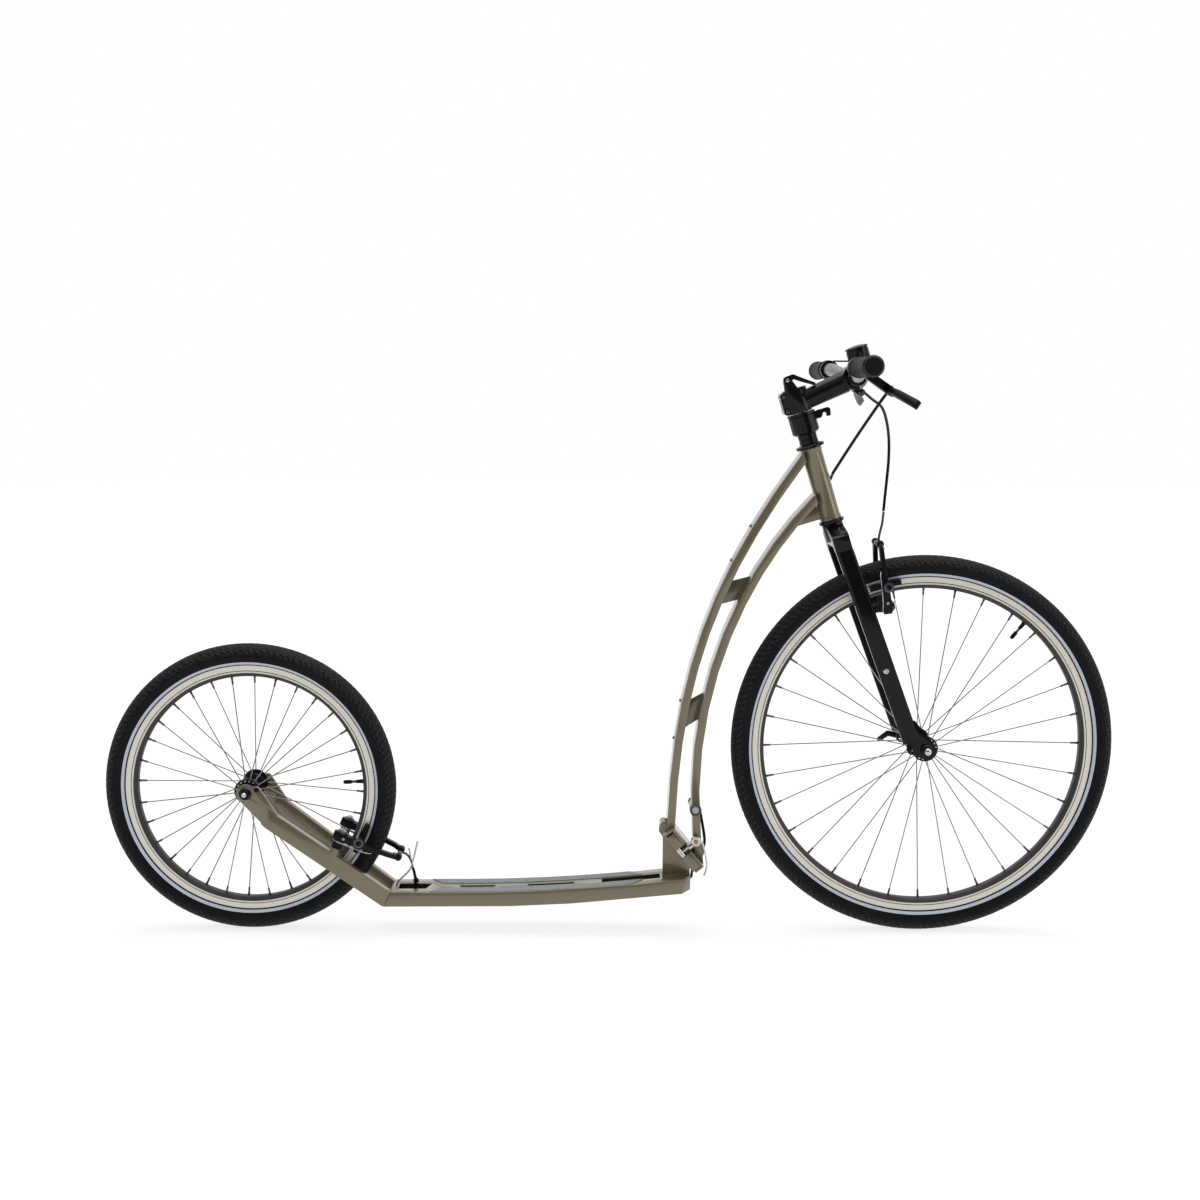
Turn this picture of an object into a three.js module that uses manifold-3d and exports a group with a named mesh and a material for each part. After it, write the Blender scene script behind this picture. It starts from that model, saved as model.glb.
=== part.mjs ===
// Kick bike with a folding frame: spoked wheels, a low box-section deck, twin arched frame tubes,
// a fold joint with a cam latch, a straight fork, rim brakes and a height-adjustable stem.
// Millimetres and degrees, +X forward, +Y to the rider's left, +Z up, ground at Z = 0.
import * as THREE from "three";
import { ConvexGeometry } from "three/addons/geometries/ConvexGeometry.js";
import { mergeVertices } from "three/addons/utils/BufferGeometryUtils.js";
import Module from "manifold-3d";

// Driving dimensions
const frontWheelRadius = 321;
const rearWheelRadius = 244.5;
const headAngle = 17.12;
const forkOffset = 41.5;
const tyreClearance = 38.4;
const headTubeLength = 123;
const deckWidth = 78;
const deckThickness = 24.9;
const deckHeight = 72.3;
const deckLength = 511;
const deckToRearAxle = 230.5;
const deckToFrontAxle = 387.2;

// Clearances
const seatGap = 0.3;
const runningGap = 0.4;
const overrun = 6;
const wheelFacets = 32;
const weldTolerance = 0.0005;

// Tyres and rims
const tyreWidth = 41.5;
const tyreHeight = 35.5;
const tyreWall = 3;
const tyreCentreRise = 16;
const tyreMouthAngle = 0.2;
const rimWidth = 24;
const rimFlange = 1.3;
const rimWell = 7.5;
const trackHeight = 9;
const rimGroove = 1.2;
const rimDepth = 19.7;
const rimInnerWidth = 14;
const valveRadius = 2.9;
const valveLength = 34;
const valveCapRadius = 3.4;
const valveCapLength = 11;
const frontValveAngle = 51.2;
const rearValveAngle = 2.9;

// Hubs, axles and spokes
const axleRadius = 4.9;
const hubHalfWidth = 46.2;
const hubEndRadius = 9;
const hubEndLength = 6.5;
const hubShellRadius = 11;
const hubShoulderRadius = 13;
const flangeRadius = 21.5;
const flangeThickness = 3;
const flangePlace = 35;
const spokeCircleRadius = 17.4;
const spokeCount = 32;
const spokeRadius = 1;
const spokeSpread = 3;
const frontSpokeAngle = 0.6;
const rearSpokeAngle = -2.7;
const dropoutThickness = 6;
const dropoutRadius = 15.5;
const nutRadius = 8.6;
const nutHeight = 7.5;
const axleTipLength = 5;
const washerRadius = 10;

// Deck beam and its grip bands
const deckWall = 2.5;
const deckBendShare = 0.207;
const deckBendRadius = 3200;
const deckMitreLean = 12.2;
const deckNoseLength = 15;
const deckNoseWidth = 38;
const slotCornerCut = 9;
const rearSlot = { startShare: 0.0329, lengthShare: 0.1076, width: 30 };
const middleSlot = { startShare: 0.2364, lengthShare: 0.1155, width: 8 };
const foreSlot = { startShare: 0.4618, lengthShare: 0.1526, width: 8 };
const frontSlot = { startShare: 0.7084, lengthShare: 0.1918, width: 26 };
const gripThickness = 1;
const gripEdge = 2.5;
const gripInner = 13.5;
const gripStartShare = 0.1389;
const gripSlant = 20;
const gripLengthShare = 0.7045;

// Fold joint, measured along the slanted plate (run) and square to it (rise)
const jointTilt = 50.97;
const jointBack = 47.1;
const jointHeight = 170.8;
const channelRun = 84;
const channelRise = 20;
const channelWall = 3.3;
const channelWidth = 76;
const channelLip = 3;
const blockStart = 7;
const blockInset = 0.8;
const webThickness = 10;
const hingePinRun = -8.5;
const hingePinRise = 9;
const hingePinRadius = 3;
const knuckleRadius = 6.5;
const knuckleSide = 11;
const latchRun = 42;
const latchRise = 4;
const latchAcross = 32.4;
const latchSlot = 17;
const barrelRadius = 4.2;
const barrelLength = 17.4;
const barrelPin = 2.4;
const barrelPinLength = 3.5;
const rodRadius = 3;
const camRise = 36.4;
const camRadius = 8.4;
const camWidth = 10;
const seatRadius = 6.2;
const footGussetRun = 62;
const footGussetRadius = 17;

// Arched frame tubes
const archWidth = 50;
const archThickness = 13.3;
const archWall = 1.8;
const archSteps = 10;
const headCutSetback = 15.5;
const rearArch = { drop: 15.1, startAngle: -125.8, startPull: 244.1, endAngle: 87.86, endPull: 250.1 };
const rearArchFoot = { ahead: -2.1, above: 5.9 };
const frontArch = { drop: 85, startAngle: -133.7, startPull: 143.3, endAngle: 95.4, endPull: 261.6 };
const frontArchFoot = { ahead: 41.6, above: -15.6 };
const archStart = 21.5;
const gussetThickness = 5;
const upperGusset = { rearFoot: 562, rearLength: 39, frontFoot: 562, frontLength: 39 };
const lowerGusset = { rearFoot: 352, rearLength: 49, frontFoot: 358, frontLength: 46 };
const headGussetFootGap = 5;
const headGussetHeight = 23;
const headGussetReach = 60;
const studRadius = 3;
const studHeight = 3.2;
const studHeights = [330.2, 393.6, 628.5, 685.2];
const bushingRadius = 9.8;
const bushingBore = 5.2;
const bushingProud = 3;
const bushingHeight = 212;

// Head tube and headset
const headRadius = 17;
const headBore = 14.6;
const upperCupRadius = 23.5;
const upperCupHeight = 5;
const lowerCupRadius = 21;
const lowerCupHeight = 6;
const steererRadius = 12.7;
const steererBore = 11.4;
const spacerRadius = 15.6;
const spacerTop = 24;
const collarRadius = 22.7;
const collarTop = 60;
const collarGroove = 1.6;
const collarRibs = 10;

// Fork
const crownNeckRadius = 17.5;
const crownNeckLength = 14;
const crownDepth = 27.6;
const crownHeight = 30;
const forkHalfSpan = 48;
const legWidth = 17;
const legFootWidth = 14;
const legDepth = 28.4;
const legBend = 19.9;
const legLead = 1.5;
const legEndAboveAxle = 22;
const legChamfer = 4;
const eyeletRadius = 6.5;
const eyeletBack = 25;
const eyeletAbove = 7.5;

// Rear stays
const stayDepth = 28;
const stayWidth = 14.5;
const stayRearSpan = 114;
const stayEndBack = 22.4;
const stayEndDrop = 32.5;
const stayChamfer = 9;

// Rim brakes
const postHalfSpan = 42;
const postRadius = 4.2;
const postBossRadius = 8;
const armThickness = 12;
const armLength = 101.6;
const armTopHalfSpan = 22;
const padRise = 32;
const padLength = 52;
const padHeight = 8.4;
const padDepth = 10;
const padGap = 2.2;
const padAhead = 6;
const frontPadAngle = 104.5;
const frontBrakeAngle = 96.5;
const rearPadAngle = -24.2;
const rearBrakeAngle = -23.5;
const postHeadRadius = 7;
const postHeadHeight = 4;
const noodleRadius = 2.2;
const bootRadius = 4.2;
const bootWall = 1.4;
const bootAhead = 1;
const bootClosed = -4.5;
const bootOpen = 5.2;
const wireGap = 1.6;
const frontNoodle = [[13.3, -20, 153.8], [9, -20, 133.9], [3.5, -19.4, 118], [1.4, -14.6, 106.2]];
const rearNoodle = [[-16.3, -12, 131.9], [-6, -15, 124], [0.2, -16.4, 113], [0.9, -14.6, 106.2]];

// Stem and its sliding post
const postTubeRadius = 11;
const postFootGap = 3;
const stemBottom = 61;
const stemTop = 101;
const stemCapThickness = 4;
const stemRadius = 20;
const stemRearReach = 27;
const rearEarWidth = 30;
const rearEarRadius = 5.5;
const rearEarSlot = 3;
const barAhead = 99;
const barAbove = 90;
const neckStartRadius = 16.2;
const neckEndRadius = 18.6;
const barClampRadius = 21;
const barClampWidth = 42;
const capGap = 1;
const stemEarRadius = 6;
const stemEarThickness = 2.5;
const stemPinRadius = 2;

// Handlebar and what it carries
const barSpan = 600;
const barRadius = 11.1;
const barEndAhead = 85.6;
const barEndAbove = 108.8;
const barStraightHalf = 34;
const barStraightEnd = 158;
const gripBarLength = 128;
const gripRadius = 15.2;
const gripFlangeRadius = 16.6;
const gripFlangeWidth = 4;
const gripEndCap = 2.5;
const leverAngle = -52;
const leverGap = 8;
const leverMountWidth = 20;
const leverRingRadius = 16;
const leverBodyReach = 74;
const leverBodyDepth = 13;
const leverPivotReach = 60;
const leverBladeWidth = 11;
const leverBladeThickness = 7;
const leverPinRadius = 2.2;
const leverTipReach = 105;
const leverTipInset = 42;
const barrelReach = 66;
const cableBarrelRadius = 5;
const cableBarrelLength = 20;
const bellAcross = 46;
const bellRadius = 18.5;
const bellHeight = 19;
const bellAbove = 33.5;
const bellAhead = 10;
const strikerReach = 38;
const strikerPin = 1.6;
const strikerThickness = 2.4;
const bellPlateThickness = 2.5;
const bellPostRadius = 4;
const bellRingWidth = 10;
const bellRingWall = 3.2;
const bellRingGap = 0.9;

// Latches of the stem, the column and the front axle
const stemLeverAcross = 9;
const stemLeverWidth = 8;
const stemLeverPivot = { ahead: -8, above: 117.3 };
const stemLeverTip = { ahead: 32.8, above: 99.6 };
const hookPivot = { ahead: 27.4, above: 50 };
const hookWidth = 12;
const hookReach = 20;
const hookDrop = 12;
const axleLeverReach = 59;
const axleLeverThickness = 10;
const axleLeverHub = 6.4;
const leverRootShare = 0.82;

// Cords
const housingRadius = 2.5;
const wireRadius = 1.2;
const cableEndGap = 1;
const cableBreak = [0.2, 0, 0.6];

const wasm = await Module();
wasm.setup();
const radians = THREE.MathUtils.degToRad;
const at = (x, y, z) => new THREE.Vector3(x, y, z);
const sides = (list) => list.flatMap((item) => [["left", 1, item], ["right", -1, item]]);

// A closed geometry becomes a solid whose faces point outwards.
function solidOf(geometry) {
  const loose = geometry.index ? geometry.toNonIndexed() : geometry;
  const bare = new THREE.BufferGeometry().setAttribute("position", loose.getAttribute("position"));
  const merged = mergeVertices(bare, weldTolerance);
  const corners = [];
  for (let i = 0; i < merged.index.count; i += 3) {
    const [a, b, c] = merged.index.array.subarray(i, i + 3);
    if (a !== b && b !== c && c !== a) corners.push([a, b, c]);
  }
  const vertProperties = new Float32Array(merged.attributes.position.array);
  const build = (faces) =>
    new wasm.Manifold(new wasm.Mesh({ numProp: 3, vertProperties, triVerts: Uint32Array.from(faces.flat()) }));
  const made = build(corners);
  return made.volume() < 0 ? build(corners.map(([a, b, c]) => [a, c, b])) : made;
}

function geometryOf(solid) {
  const mesh = solid.getMesh();
  const geometry = new THREE.BufferGeometry();
  const positions = new Float32Array(mesh.numVert * 3);
  for (let i = 0; i < mesh.numVert; i += 1) {
    positions.set(mesh.vertProperties.subarray(i * mesh.numProp, i * mesh.numProp + 3), i * 3);
  }
  geometry.setAttribute("position", new THREE.BufferAttribute(positions, 3));
  geometry.setIndex(new THREE.BufferAttribute(new Uint32Array(mesh.triVerts), 1));
  return geometry;
}

const fuse = (...solids) => solids.flat().reduce((sum, solid) => sum.add(solid));
const cut = (body, ...tools) => tools.flat().reduce((rest, tool) => rest.subtract(tool), body);
const moved = (solid, matrix) => solidOf(geometryOf(solid).applyMatrix4(matrix));

// Shapes
function box(length, width, height, centre) {
  return solidOf(new THREE.BoxGeometry(length, width, height).translate(centre.x, centre.y, centre.z));
}

// A side-view outline of [x, z] points made solid from one place across the bike to another
function plate(outline, yFrom, yTo) {
  const shape = new THREE.Shape(outline.map(([x, z]) => new THREE.Vector2(x, z)));
  const geometry = new THREE.ExtrudeGeometry(shape, { depth: yTo - yFrom, bevelEnabled: false });
  return solidOf(geometry.rotateX(Math.PI / 2).translate(0, yTo, 0));
}

// A plan outline of [x, y] points made solid between two heights
function prism(outline, zFrom, zTo) {
  const shape = new THREE.Shape(outline.map(([x, y]) => new THREE.Vector2(x, y)));
  const geometry = new THREE.ExtrudeGeometry(shape, { depth: zTo - zFrom, bevelEnabled: false });
  return solidOf(geometry.translate(0, 0, zFrom));
}

// A profile of [radius, place] points turned about the Y axis, or about Z where asked
function turned(profile, segments, axis = "y") {
  const geometry = new THREE.LatheGeometry(profile.map(([r, place]) => new THREE.Vector2(r, place)), segments);
  if (axis === "z") geometry.rotateX(Math.PI / 2);
  return solidOf(geometry);
}

const sleeve = (outer, inner, from, to, segments, axis) =>
  turned([[inner, from], [outer, from], [outer, to], [inner, to], [inner, from]], segments, axis);
const disc = (radius, from, to, segments, axis) =>
  turned([[0, from], [radius, from], [radius, to], [0, to]], segments, axis);

// A stepped round bar from one point to another: steps are [distance, radius] pairs
function bar(from, to, steps, segments) {
  const profile = [[0, steps[0][0]], ...steps.map(([place, radius]) => [radius, place])];
  profile.push([0, steps[steps.length - 1][0]]);
  const geometry = new THREE.LatheGeometry(profile.map(([r, place]) => new THREE.Vector2(r, place)), segments);
  const direction = to.clone().sub(from).normalize();
  geometry.applyQuaternion(new THREE.Quaternion().setFromUnitVectors(at(0, 1, 0), direction));
  return solidOf(geometry.translate(from.x, from.y, from.z));
}
const rod = (from, to, radius, segments) => bar(from, to, [[0, radius], [from.distanceTo(to), radius]], segments);

const hull = (points) => solidOf(new ConvexGeometry(points));

// The rim points of a round boss that lies across the bike
function boss(x, z, radius, yFrom, yTo, count = 12) {
  return Array.from({ length: count }, (_, i) => (i * 2 * Math.PI) / count).flatMap((turn) =>
    [yFrom, yTo].map((y) => at(x + radius * Math.cos(turn), y, z + radius * Math.sin(turn))),
  );
}

// A row of bosses [x, z, radius] joined into one smooth arm
function arm(stations, yFrom, yTo, count) {
  const rings = stations.map(([x, z, radius]) => boss(x, z, radius, yFrom, yTo, count));
  return fuse(rings.slice(1).map((ring, i) => hull([...rings[i], ...ring])));
}

// Rings of equal count joined into one skin with flat ends
function loft(rings) {
  const corners = [];
  const count = rings[0].length;
  const face = (a, b, c) => corners.push(a, b, c);
  for (let r = 1; r < rings.length; r += 1) {
    for (let i = 0; i < count; i += 1) {
      const j = (i + 1) % count;
      face(rings[r - 1][i], rings[r - 1][j], rings[r][j]);
      face(rings[r - 1][i], rings[r][j], rings[r][i]);
    }
  }
  const last = rings[rings.length - 1];
  for (let i = 2; i < count; i += 1) {
    face(rings[0][0], rings[0][i], rings[0][i - 1]);
    face(last[0], last[i - 1], last[i]);
  }
  return solidOf(new THREE.BufferGeometry().setFromPoints(corners));
}

// A round cord or tube along points, with a step count of its own
function sweep(points, radius, segments, steps) {
  const path = new THREE.CatmullRomCurve3(points, false, "centripetal");
  const ring = Array.from({ length: segments }, (_, i) => (i * 2 * Math.PI) / segments);
  const shape = new THREE.Shape(ring.map((turn) => new THREE.Vector2(radius * Math.cos(turn), radius * Math.sin(turn))));
  return solidOf(new THREE.ExtrudeGeometry(shape, { extrudePath: path, steps, bevelEnabled: false }));
}

// Finishes
const finish = (color, roughness, metalness) => new THREE.MeshStandardMaterial({ color, roughness, metalness });
const framePaint = finish(0x857960, 0.38, 0.6);
const blackGloss = finish(0x0b0d12, 0.22, 0.3);
const blackMatte = finish(0x16171a, 0.6, 0);
const tyreRubber = finish(0x1b1b1c, 0.9, 0);
const rimMetal = finish(0xb9b4a4, 0.3, 0.9);
const steel = finish(0xb8bcc0, 0.25, 1);
const barMetal = finish(0x8a8c90, 0.35, 0.9);
const gripTape = finish(0x8f9092, 0.95, 0);

const bike = new THREE.Group();
bike.position.x = (rearWheelRadius - frontWheelRadius) / 2;

function add(parent, name, solid, material) {
  const mesh = new THREE.Mesh(geometryOf(solid), material);
  mesh.name = name;
  parent.add(mesh);
  return mesh;
}

// The fork's length adds up from the tyre to the top of the head tube
const forkLength =
  frontWheelRadius + tyreClearance + crownHeight + crownNeckLength + lowerCupHeight + headTubeLength + 2 * seatGap;

// Where things stand: the frame's own X starts midway between the axles
const wheelbase = deckToRearAxle + deckLength + deckToFrontAxle;
const rearAxle = { x: -wheelbase / 2, z: rearWheelRadius };
const frontAxle = { x: wheelbase / 2, z: frontWheelRadius };
const lean = radians(headAngle);
const headTop = {
  x: frontAxle.x - forkOffset * Math.cos(lean) - forkLength * Math.sin(lean),
  z: frontAxle.z - forkOffset * Math.sin(lean) + forkLength * Math.cos(lean),
};
const steerMatrix = new THREE.Matrix4().makeRotationY(-lean).setPosition(headTop.x, 0, headTop.z);
const steering = new THREE.Group();
steering.applyMatrix4(steerMatrix);
bike.add(steering);
const fromSteering = (ahead, across, above) => at(ahead, across, above).applyMatrix4(steerMatrix);

const deckRear = rearAxle.x + deckToRearAxle;
const deckFront = deckRear + deckLength;
const bendStart = deckRear + deckLength * deckBendShare;
const deckTopAt = (x) => {
  const past = Math.max(0, x - bendStart);
  return deckHeight + deckBendRadius - Math.sqrt(deckBendRadius ** 2 - past ** 2);
};

const joint = { x: deckFront - jointBack, z: jointHeight };
const jointMatrix = new THREE.Matrix4().makeRotationY(radians(jointTilt)).setPosition(joint.x, 0, joint.z);
const jointGroup = new THREE.Group();
jointGroup.applyMatrix4(jointMatrix);
bike.add(jointGroup);
const fromJoint = (run, across, rise) => at(run, across, rise).applyMatrix4(jointMatrix);

// Wheels: each turns about the Y axis of its own group
function tyreSolid(radius) {
  const bead = radius - tyreHeight;
  const centre = bead + tyreCentreRise;
  const tall = radius - centre;
  const edge = Math.acos(-(tyreCentreRise - seatGap) / tall);
  const seatWidth = rimWidth / 2 - rimFlange - seatGap;
  const arc = (tallness, width, from, to, steps) =>
    Array.from({ length: steps + 1 }, (_, i) => from + ((to - from) * i) / steps).map((turn) => [
      centre + tallness * Math.cos(turn),
      width * Math.sin(turn),
    ]);
  const outer = arc(tall, tyreWidth / 2, -edge, edge, 6);
  const mouth = edge - tyreMouthAngle;
  const inner = arc(tall - tyreWall, tyreWidth / 2 - tyreWall, mouth, -mouth, 3);
  const beadFoot = bead - rimWell + seatGap;
  const profile = [
    ...outer,
    [bead + seatGap, seatWidth],
    [beadFoot, seatWidth],
    [beadFoot, seatWidth - tyreWall],
    ...inner,
    [beadFoot, tyreWall - seatWidth],
    [beadFoot, -seatWidth],
    [bead + seatGap, -seatWidth],
  ];
  return turned([...profile, profile[0]], wheelFacets);
}

function rimSolid(radius, valveAngle) {
  const bead = radius - tyreHeight;
  const half = rimWidth / 2;
  const inner = bead - rimDepth;
  const side = [
    [bead - rimWell, half - rimFlange],
    [bead, half - rimFlange],
    [bead, half],
    [bead - trackHeight, half],
    [bead - trackHeight - rimGroove, half - rimGroove],
    [inner, rimInnerWidth / 2],
  ];
  const profile = [...side, ...side.map(([r, y]) => [r, -y]).reverse()];
  const turn = radians(valveAngle);
  const outward = at(Math.cos(turn), 0, Math.sin(turn));
  const stem = bar(
    outward.clone().multiplyScalar(inner + overrun),
    outward.clone().multiplyScalar(inner - valveLength),
    [
      [0, valveRadius],
      [valveLength + overrun - valveCapLength, valveRadius],
      [valveLength + overrun - valveCapLength, valveCapRadius],
      [valveLength + overrun, valveCapRadius],
    ],
    8,
  );
  return fuse(turned([...profile, profile[0]], wheelFacets), stem);
}

function hubSolid(radius, firstSpokeAngle) {
  const rimInside = (radius - tyreHeight - rimDepth) * Math.cos(Math.PI / wheelFacets);
  const half = [
    [hubShellRadius, 0],
    [hubShellRadius, flangePlace / 2],
    [hubShoulderRadius, flangePlace - flangeThickness],
    [flangeRadius, flangePlace - flangeThickness / 2],
    [flangeRadius, flangePlace + flangeThickness / 2],
    [hubShoulderRadius, flangePlace + flangeThickness],
    [hubEndRadius, hubHalfWidth - hubEndLength],
    [hubEndRadius, hubHalfWidth],
    [axleRadius + runningGap, hubHalfWidth],
  ];
  const mirrored = half.slice(1).map(([r, y]) => [r, -y]).reverse();
  const profile = [...mirrored, ...half];
  const shell = turned([...profile, profile[0]], 14);
  const spokes = Array.from({ length: spokeCount }, (_, i) => {
    const turn = radians(firstSpokeAngle) + (i * 2 * Math.PI) / spokeCount;
    const side = i % 2 === 0 ? 1 : -1;
    const ray = at(Math.cos(turn), 0, Math.sin(turn));
    const root = ray.clone().multiplyScalar(spokeCircleRadius).setY(side * flangePlace);
    const tip = ray.clone().multiplyScalar(rimInside - 2 * seatGap).setY(side * spokeSpread);
    return rod(root, tip, spokeRadius, 4);
  });
  return fuse(shell, spokes);
}

function wheel(name, radius, axle, valveAngle, firstSpokeAngle) {
  const group = new THREE.Group();
  group.position.set(axle.x, 0, axle.z);
  bike.add(group);
  add(group, `${name}_tyre`, tyreSolid(radius), tyreRubber);
  add(group, `${name}_rim`, rimSolid(radius, valveAngle), rimMetal);
  add(group, `${name}_hub_and_spokes`, hubSolid(radius, firstSpokeAngle), steel);
  return group;
}
const frontWheel = wheel("front", frontWheelRadius, frontAxle, frontValveAngle, frontSpokeAngle);
const rearWheel = wheel("rear", rearWheelRadius, rearAxle, rearValveAngle, rearSpokeAngle);

// Axles: a shaft with a nut outside each dropout, or a cup for the lever at one end
const dropoutInner = hubHalfWidth + seatGap;
const dropoutOuter = dropoutInner + dropoutThickness;
const nutStart = dropoutOuter + seatGap;
const nutEnd = nutStart + nutHeight;
function axleSolid(leverEnd) {
  const shaft = disc(axleRadius, -nutEnd - axleTipLength, nutEnd, 10);
  const washer = nutStart + nutHeight / 4;
  const washers = [disc(washerRadius, nutStart, washer, 12), disc(washerRadius, -washer, -nutStart, 12)];
  const nuts = [disc(nutRadius, nutStart, nutEnd, leverEnd ? 16 : 6), disc(nutRadius, -nutEnd, -nutStart, 6)];
  return fuse(shaft, nuts, washers);
}
add(frontWheel, "front_axle", axleSolid(true), steel);
add(rearWheel, "rear_axle", axleSolid(false), steel);

// Lever on the left end of the front axle, lying back along the fork
const leverPlace = nutEnd + seatGap + axleLeverHub;
const axleLeverHalf = axleLeverThickness / 3;
const axleLeverArm = arm(
  [
    [0, 0, axleLeverHub * leverRootShare],
    [-axleLeverReach * 0.47, axleLeverThickness * 0.15, axleLeverThickness / 2],
    [-axleLeverReach * 0.75, axleLeverThickness * 0.5, axleLeverThickness / 2.2],
    [-axleLeverReach, -axleLeverThickness * 0.55, axleLeverThickness / 2.8],
  ],
  leverPlace - axleLeverHalf,
  leverPlace + axleLeverHalf,
  10,
);
const axleLeverBarrel = disc(axleLeverHub, -axleLeverHub, axleLeverHub, 16, "z").translate(0, leverPlace, 0);
add(frontWheel, "axle_lever", fuse(axleLeverArm, axleLeverBarrel), blackGloss);

// Deck beam: a flat box section that bends gently up to the fold joint
function deckEdge(depth, from, to) {
  const radius = deckBendRadius + depth;
  const lastTurn = Math.asin((to - bendStart) / radius);
  const steps = 8;
  const bend = Array.from({ length: steps + 1 }, (_, i) => (lastTurn * i) / steps).map((turn) => [
    bendStart + radius * Math.sin(turn),
    deckHeight + deckBendRadius - radius * Math.cos(turn),
  ]);
  return [[from, deckHeight - depth], ...bend];
}
function deckBand(top, bottom, rearTop, rearBottom, front) {
  return [...deckEdge(top, rearTop, front), ...deckEdge(bottom, rearBottom, front).reverse()];
}
const deckOuter = plate(
  deckBand(0, deckThickness, deckRear + deckMitreLean / 2, deckRear - deckMitreLean / 2, deckFront),
  -deckWidth / 2,
  deckWidth / 2,
);
const deckInnerBand = deckBand(
  deckWall,
  deckThickness - deckWall,
  deckRear + deckMitreLean / 2 + deckWall,
  deckRear - deckMitreLean / 2 + deckWall,
  deckFront - deckWall,
);
const deckInner = plate(deckInnerBand, deckWall - deckWidth / 2, deckWidth / 2 - deckWall);
const slot = ({ startShare, lengthShare, width }, slant) => {
  const from = deckRear + deckLength * startShare;
  const length = deckLength * lengthShare;
  const half = width / 2;
  const outline = [[from, -half], [from + length - slant, -half], [from + length, half], [from, half]];
  return prism(outline, deckTopAt(from + length / 2) - deckThickness / 2, deckTopAt(from + length) + overrun);
};
const noseOutline = (inset) => {
  const half = deckWidth / 2 - inset;
  const nose = deckNoseWidth / 2 - inset;
  return [
    [deckRear - deckThickness, -half],
    [deckFront - deckNoseLength, -half],
    [deckFront - inset, -nose],
    [deckFront - inset, nose],
    [deckFront - deckNoseLength, half],
    [deckRear - deckThickness, half],
  ];
};
const deckBottom = deckHeight - deckThickness - overrun;
const deckSky = deckTopAt(deckFront) + overrun;
const noseMask = prism(noseOutline(0), deckBottom, deckSky);
const noseInnerMask = prism(noseOutline(deckWall), deckBottom, deckSky);
const cableMouth = { height: 9, width: 12, across: 8 };
const mouth = box(
  deckWall * 4,
  cableMouth.width,
  cableMouth.height,
  at(deckFront, cableMouth.across, deckTopAt(deckFront) - deckThickness / 2),
);
const deck = cut(
  deckOuter.intersect(noseMask),
  deckInner.intersect(noseInnerMask),
  slot(rearSlot, slotCornerCut),
  slot(middleSlot, 0),
  slot(foreSlot, 0),
  slot(frontSlot, 0),
  mouth,
);
add(bike, "deck_beam", deck, framePaint);

// Grip bands along both edges of the deck, with slanted ends
for (const [side, sign] of sides([0])) {
  const outerEdge = deckWidth / 2 - gripEdge;
  const from = deckRear + deckLength * gripStartShare;
  const to = from + deckLength * gripLengthShare;
  const band = plate(
    deckBand(-seatGap - gripThickness, -seatGap, from - gripSlant, from - gripSlant, to),
    gripInner,
    outerEdge,
  );
  const plan = prism(
    [[from + gripSlant, gripInner], [to, gripInner], [to - gripSlant, outerEdge], [from, outerEdge]],
    deckHeight,
    deckSky,
  );
  const strip = band.intersect(plan);
  const mirror = new THREE.Matrix4().makeScale(1, sign, 1);
  add(bike, `grip_band_${side}`, moved(strip, mirror), gripTape);
}

// Fold joint, lower half: a slanted block on an upright web that stands on the deck
const blockTop = channelRise - channelWall - blockInset;
const blockEnd = channelRun - channelWall - blockInset;
const halfWidth = channelWidth / 2;
const slotInner = -(latchAcross - seatRadius - runningGap);
const webFoot = (x) => [x, deckTopAt(x) + seatGap];
const webOutline = [
  webFoot(joint.x + channelWall / 5.5),
  [joint.x + channelWall / 5.5, fromJoint(0, 0, 0).z - channelWall / 3],
  [fromJoint(blockStart, 0, blockTop / 2).x, fromJoint(blockStart, 0, blockTop / 2).z],
  [fromJoint(blockEnd, 0, blockTop / 2).x, fromJoint(blockEnd, 0, blockTop / 2).z],
  [deckFront - seatGap, fromJoint(blockEnd, 0, 0).z],
  webFoot(deckFront - seatGap),
];
const web = plate(webOutline, -webThickness / 2, webThickness / 2);
const block = moved(plate([[blockStart, seatGap], [blockStart, blockTop], [blockEnd, blockTop], [blockEnd, seatGap]], -halfWidth, halfWidth), jointMatrix);
const pinPlace = fromJoint(hingePinRun, 0, hingePinRise);
const lugRoot = fromJoint(-seatGap, 0, 0);
const lug = fuse(
  hull([
    ...boss(pinPlace.x, pinPlace.z, knuckleRadius, -webThickness / 2, webThickness / 2),
    ...boss(lugRoot.x - knuckleRadius / 1.6, lugRoot.z, knuckleRadius / 3, -webThickness / 2, webThickness / 2, 8),
  ]),
  hull([
    ...boss(lugRoot.x - knuckleRadius / 1.6, lugRoot.z, knuckleRadius / 3, -webThickness / 2, webThickness / 2, 8),
    ...boss(joint.x + knuckleRadius / 2, lugRoot.z - knuckleRadius * 1.6, knuckleRadius / 3, -webThickness / 2, webThickness / 2, 8),
  ]),
);
const barrelNotch = moved(
  box(barrelLength + runningGap * 2, latchAcross, latchRise + barrelRadius + runningGap + overrun,
    at(latchRun, -halfWidth - latchAcross / 2 + halfWidth + slotInner + seatGap, (latchRise + barrelRadius + runningGap - overrun) / 2)),
  jointMatrix,
);
const rodNotch = moved(
  box(latchSlot, latchAcross, channelRise * 2, at(latchRun, slotInner - latchAcross / 2, channelRise)),
  jointMatrix,
);
const barrelHole = rod(
  fromJoint(latchRun - barrelLength, -latchAcross, latchRise),
  fromJoint(latchRun + barrelLength, -latchAcross, latchRise),
  barrelPin + runningGap,
  12,
);
const pinHole = disc(hingePinRadius + seatGap, -halfWidth, halfWidth, 16).translate(pinPlace.x, 0, pinPlace.z);
const lowerHinge = cut(fuse(block, web, lug), barrelNotch, rodNotch, barrelHole, pinHole);
add(bike, "deck_hinge", lowerHinge, framePaint);

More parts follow.
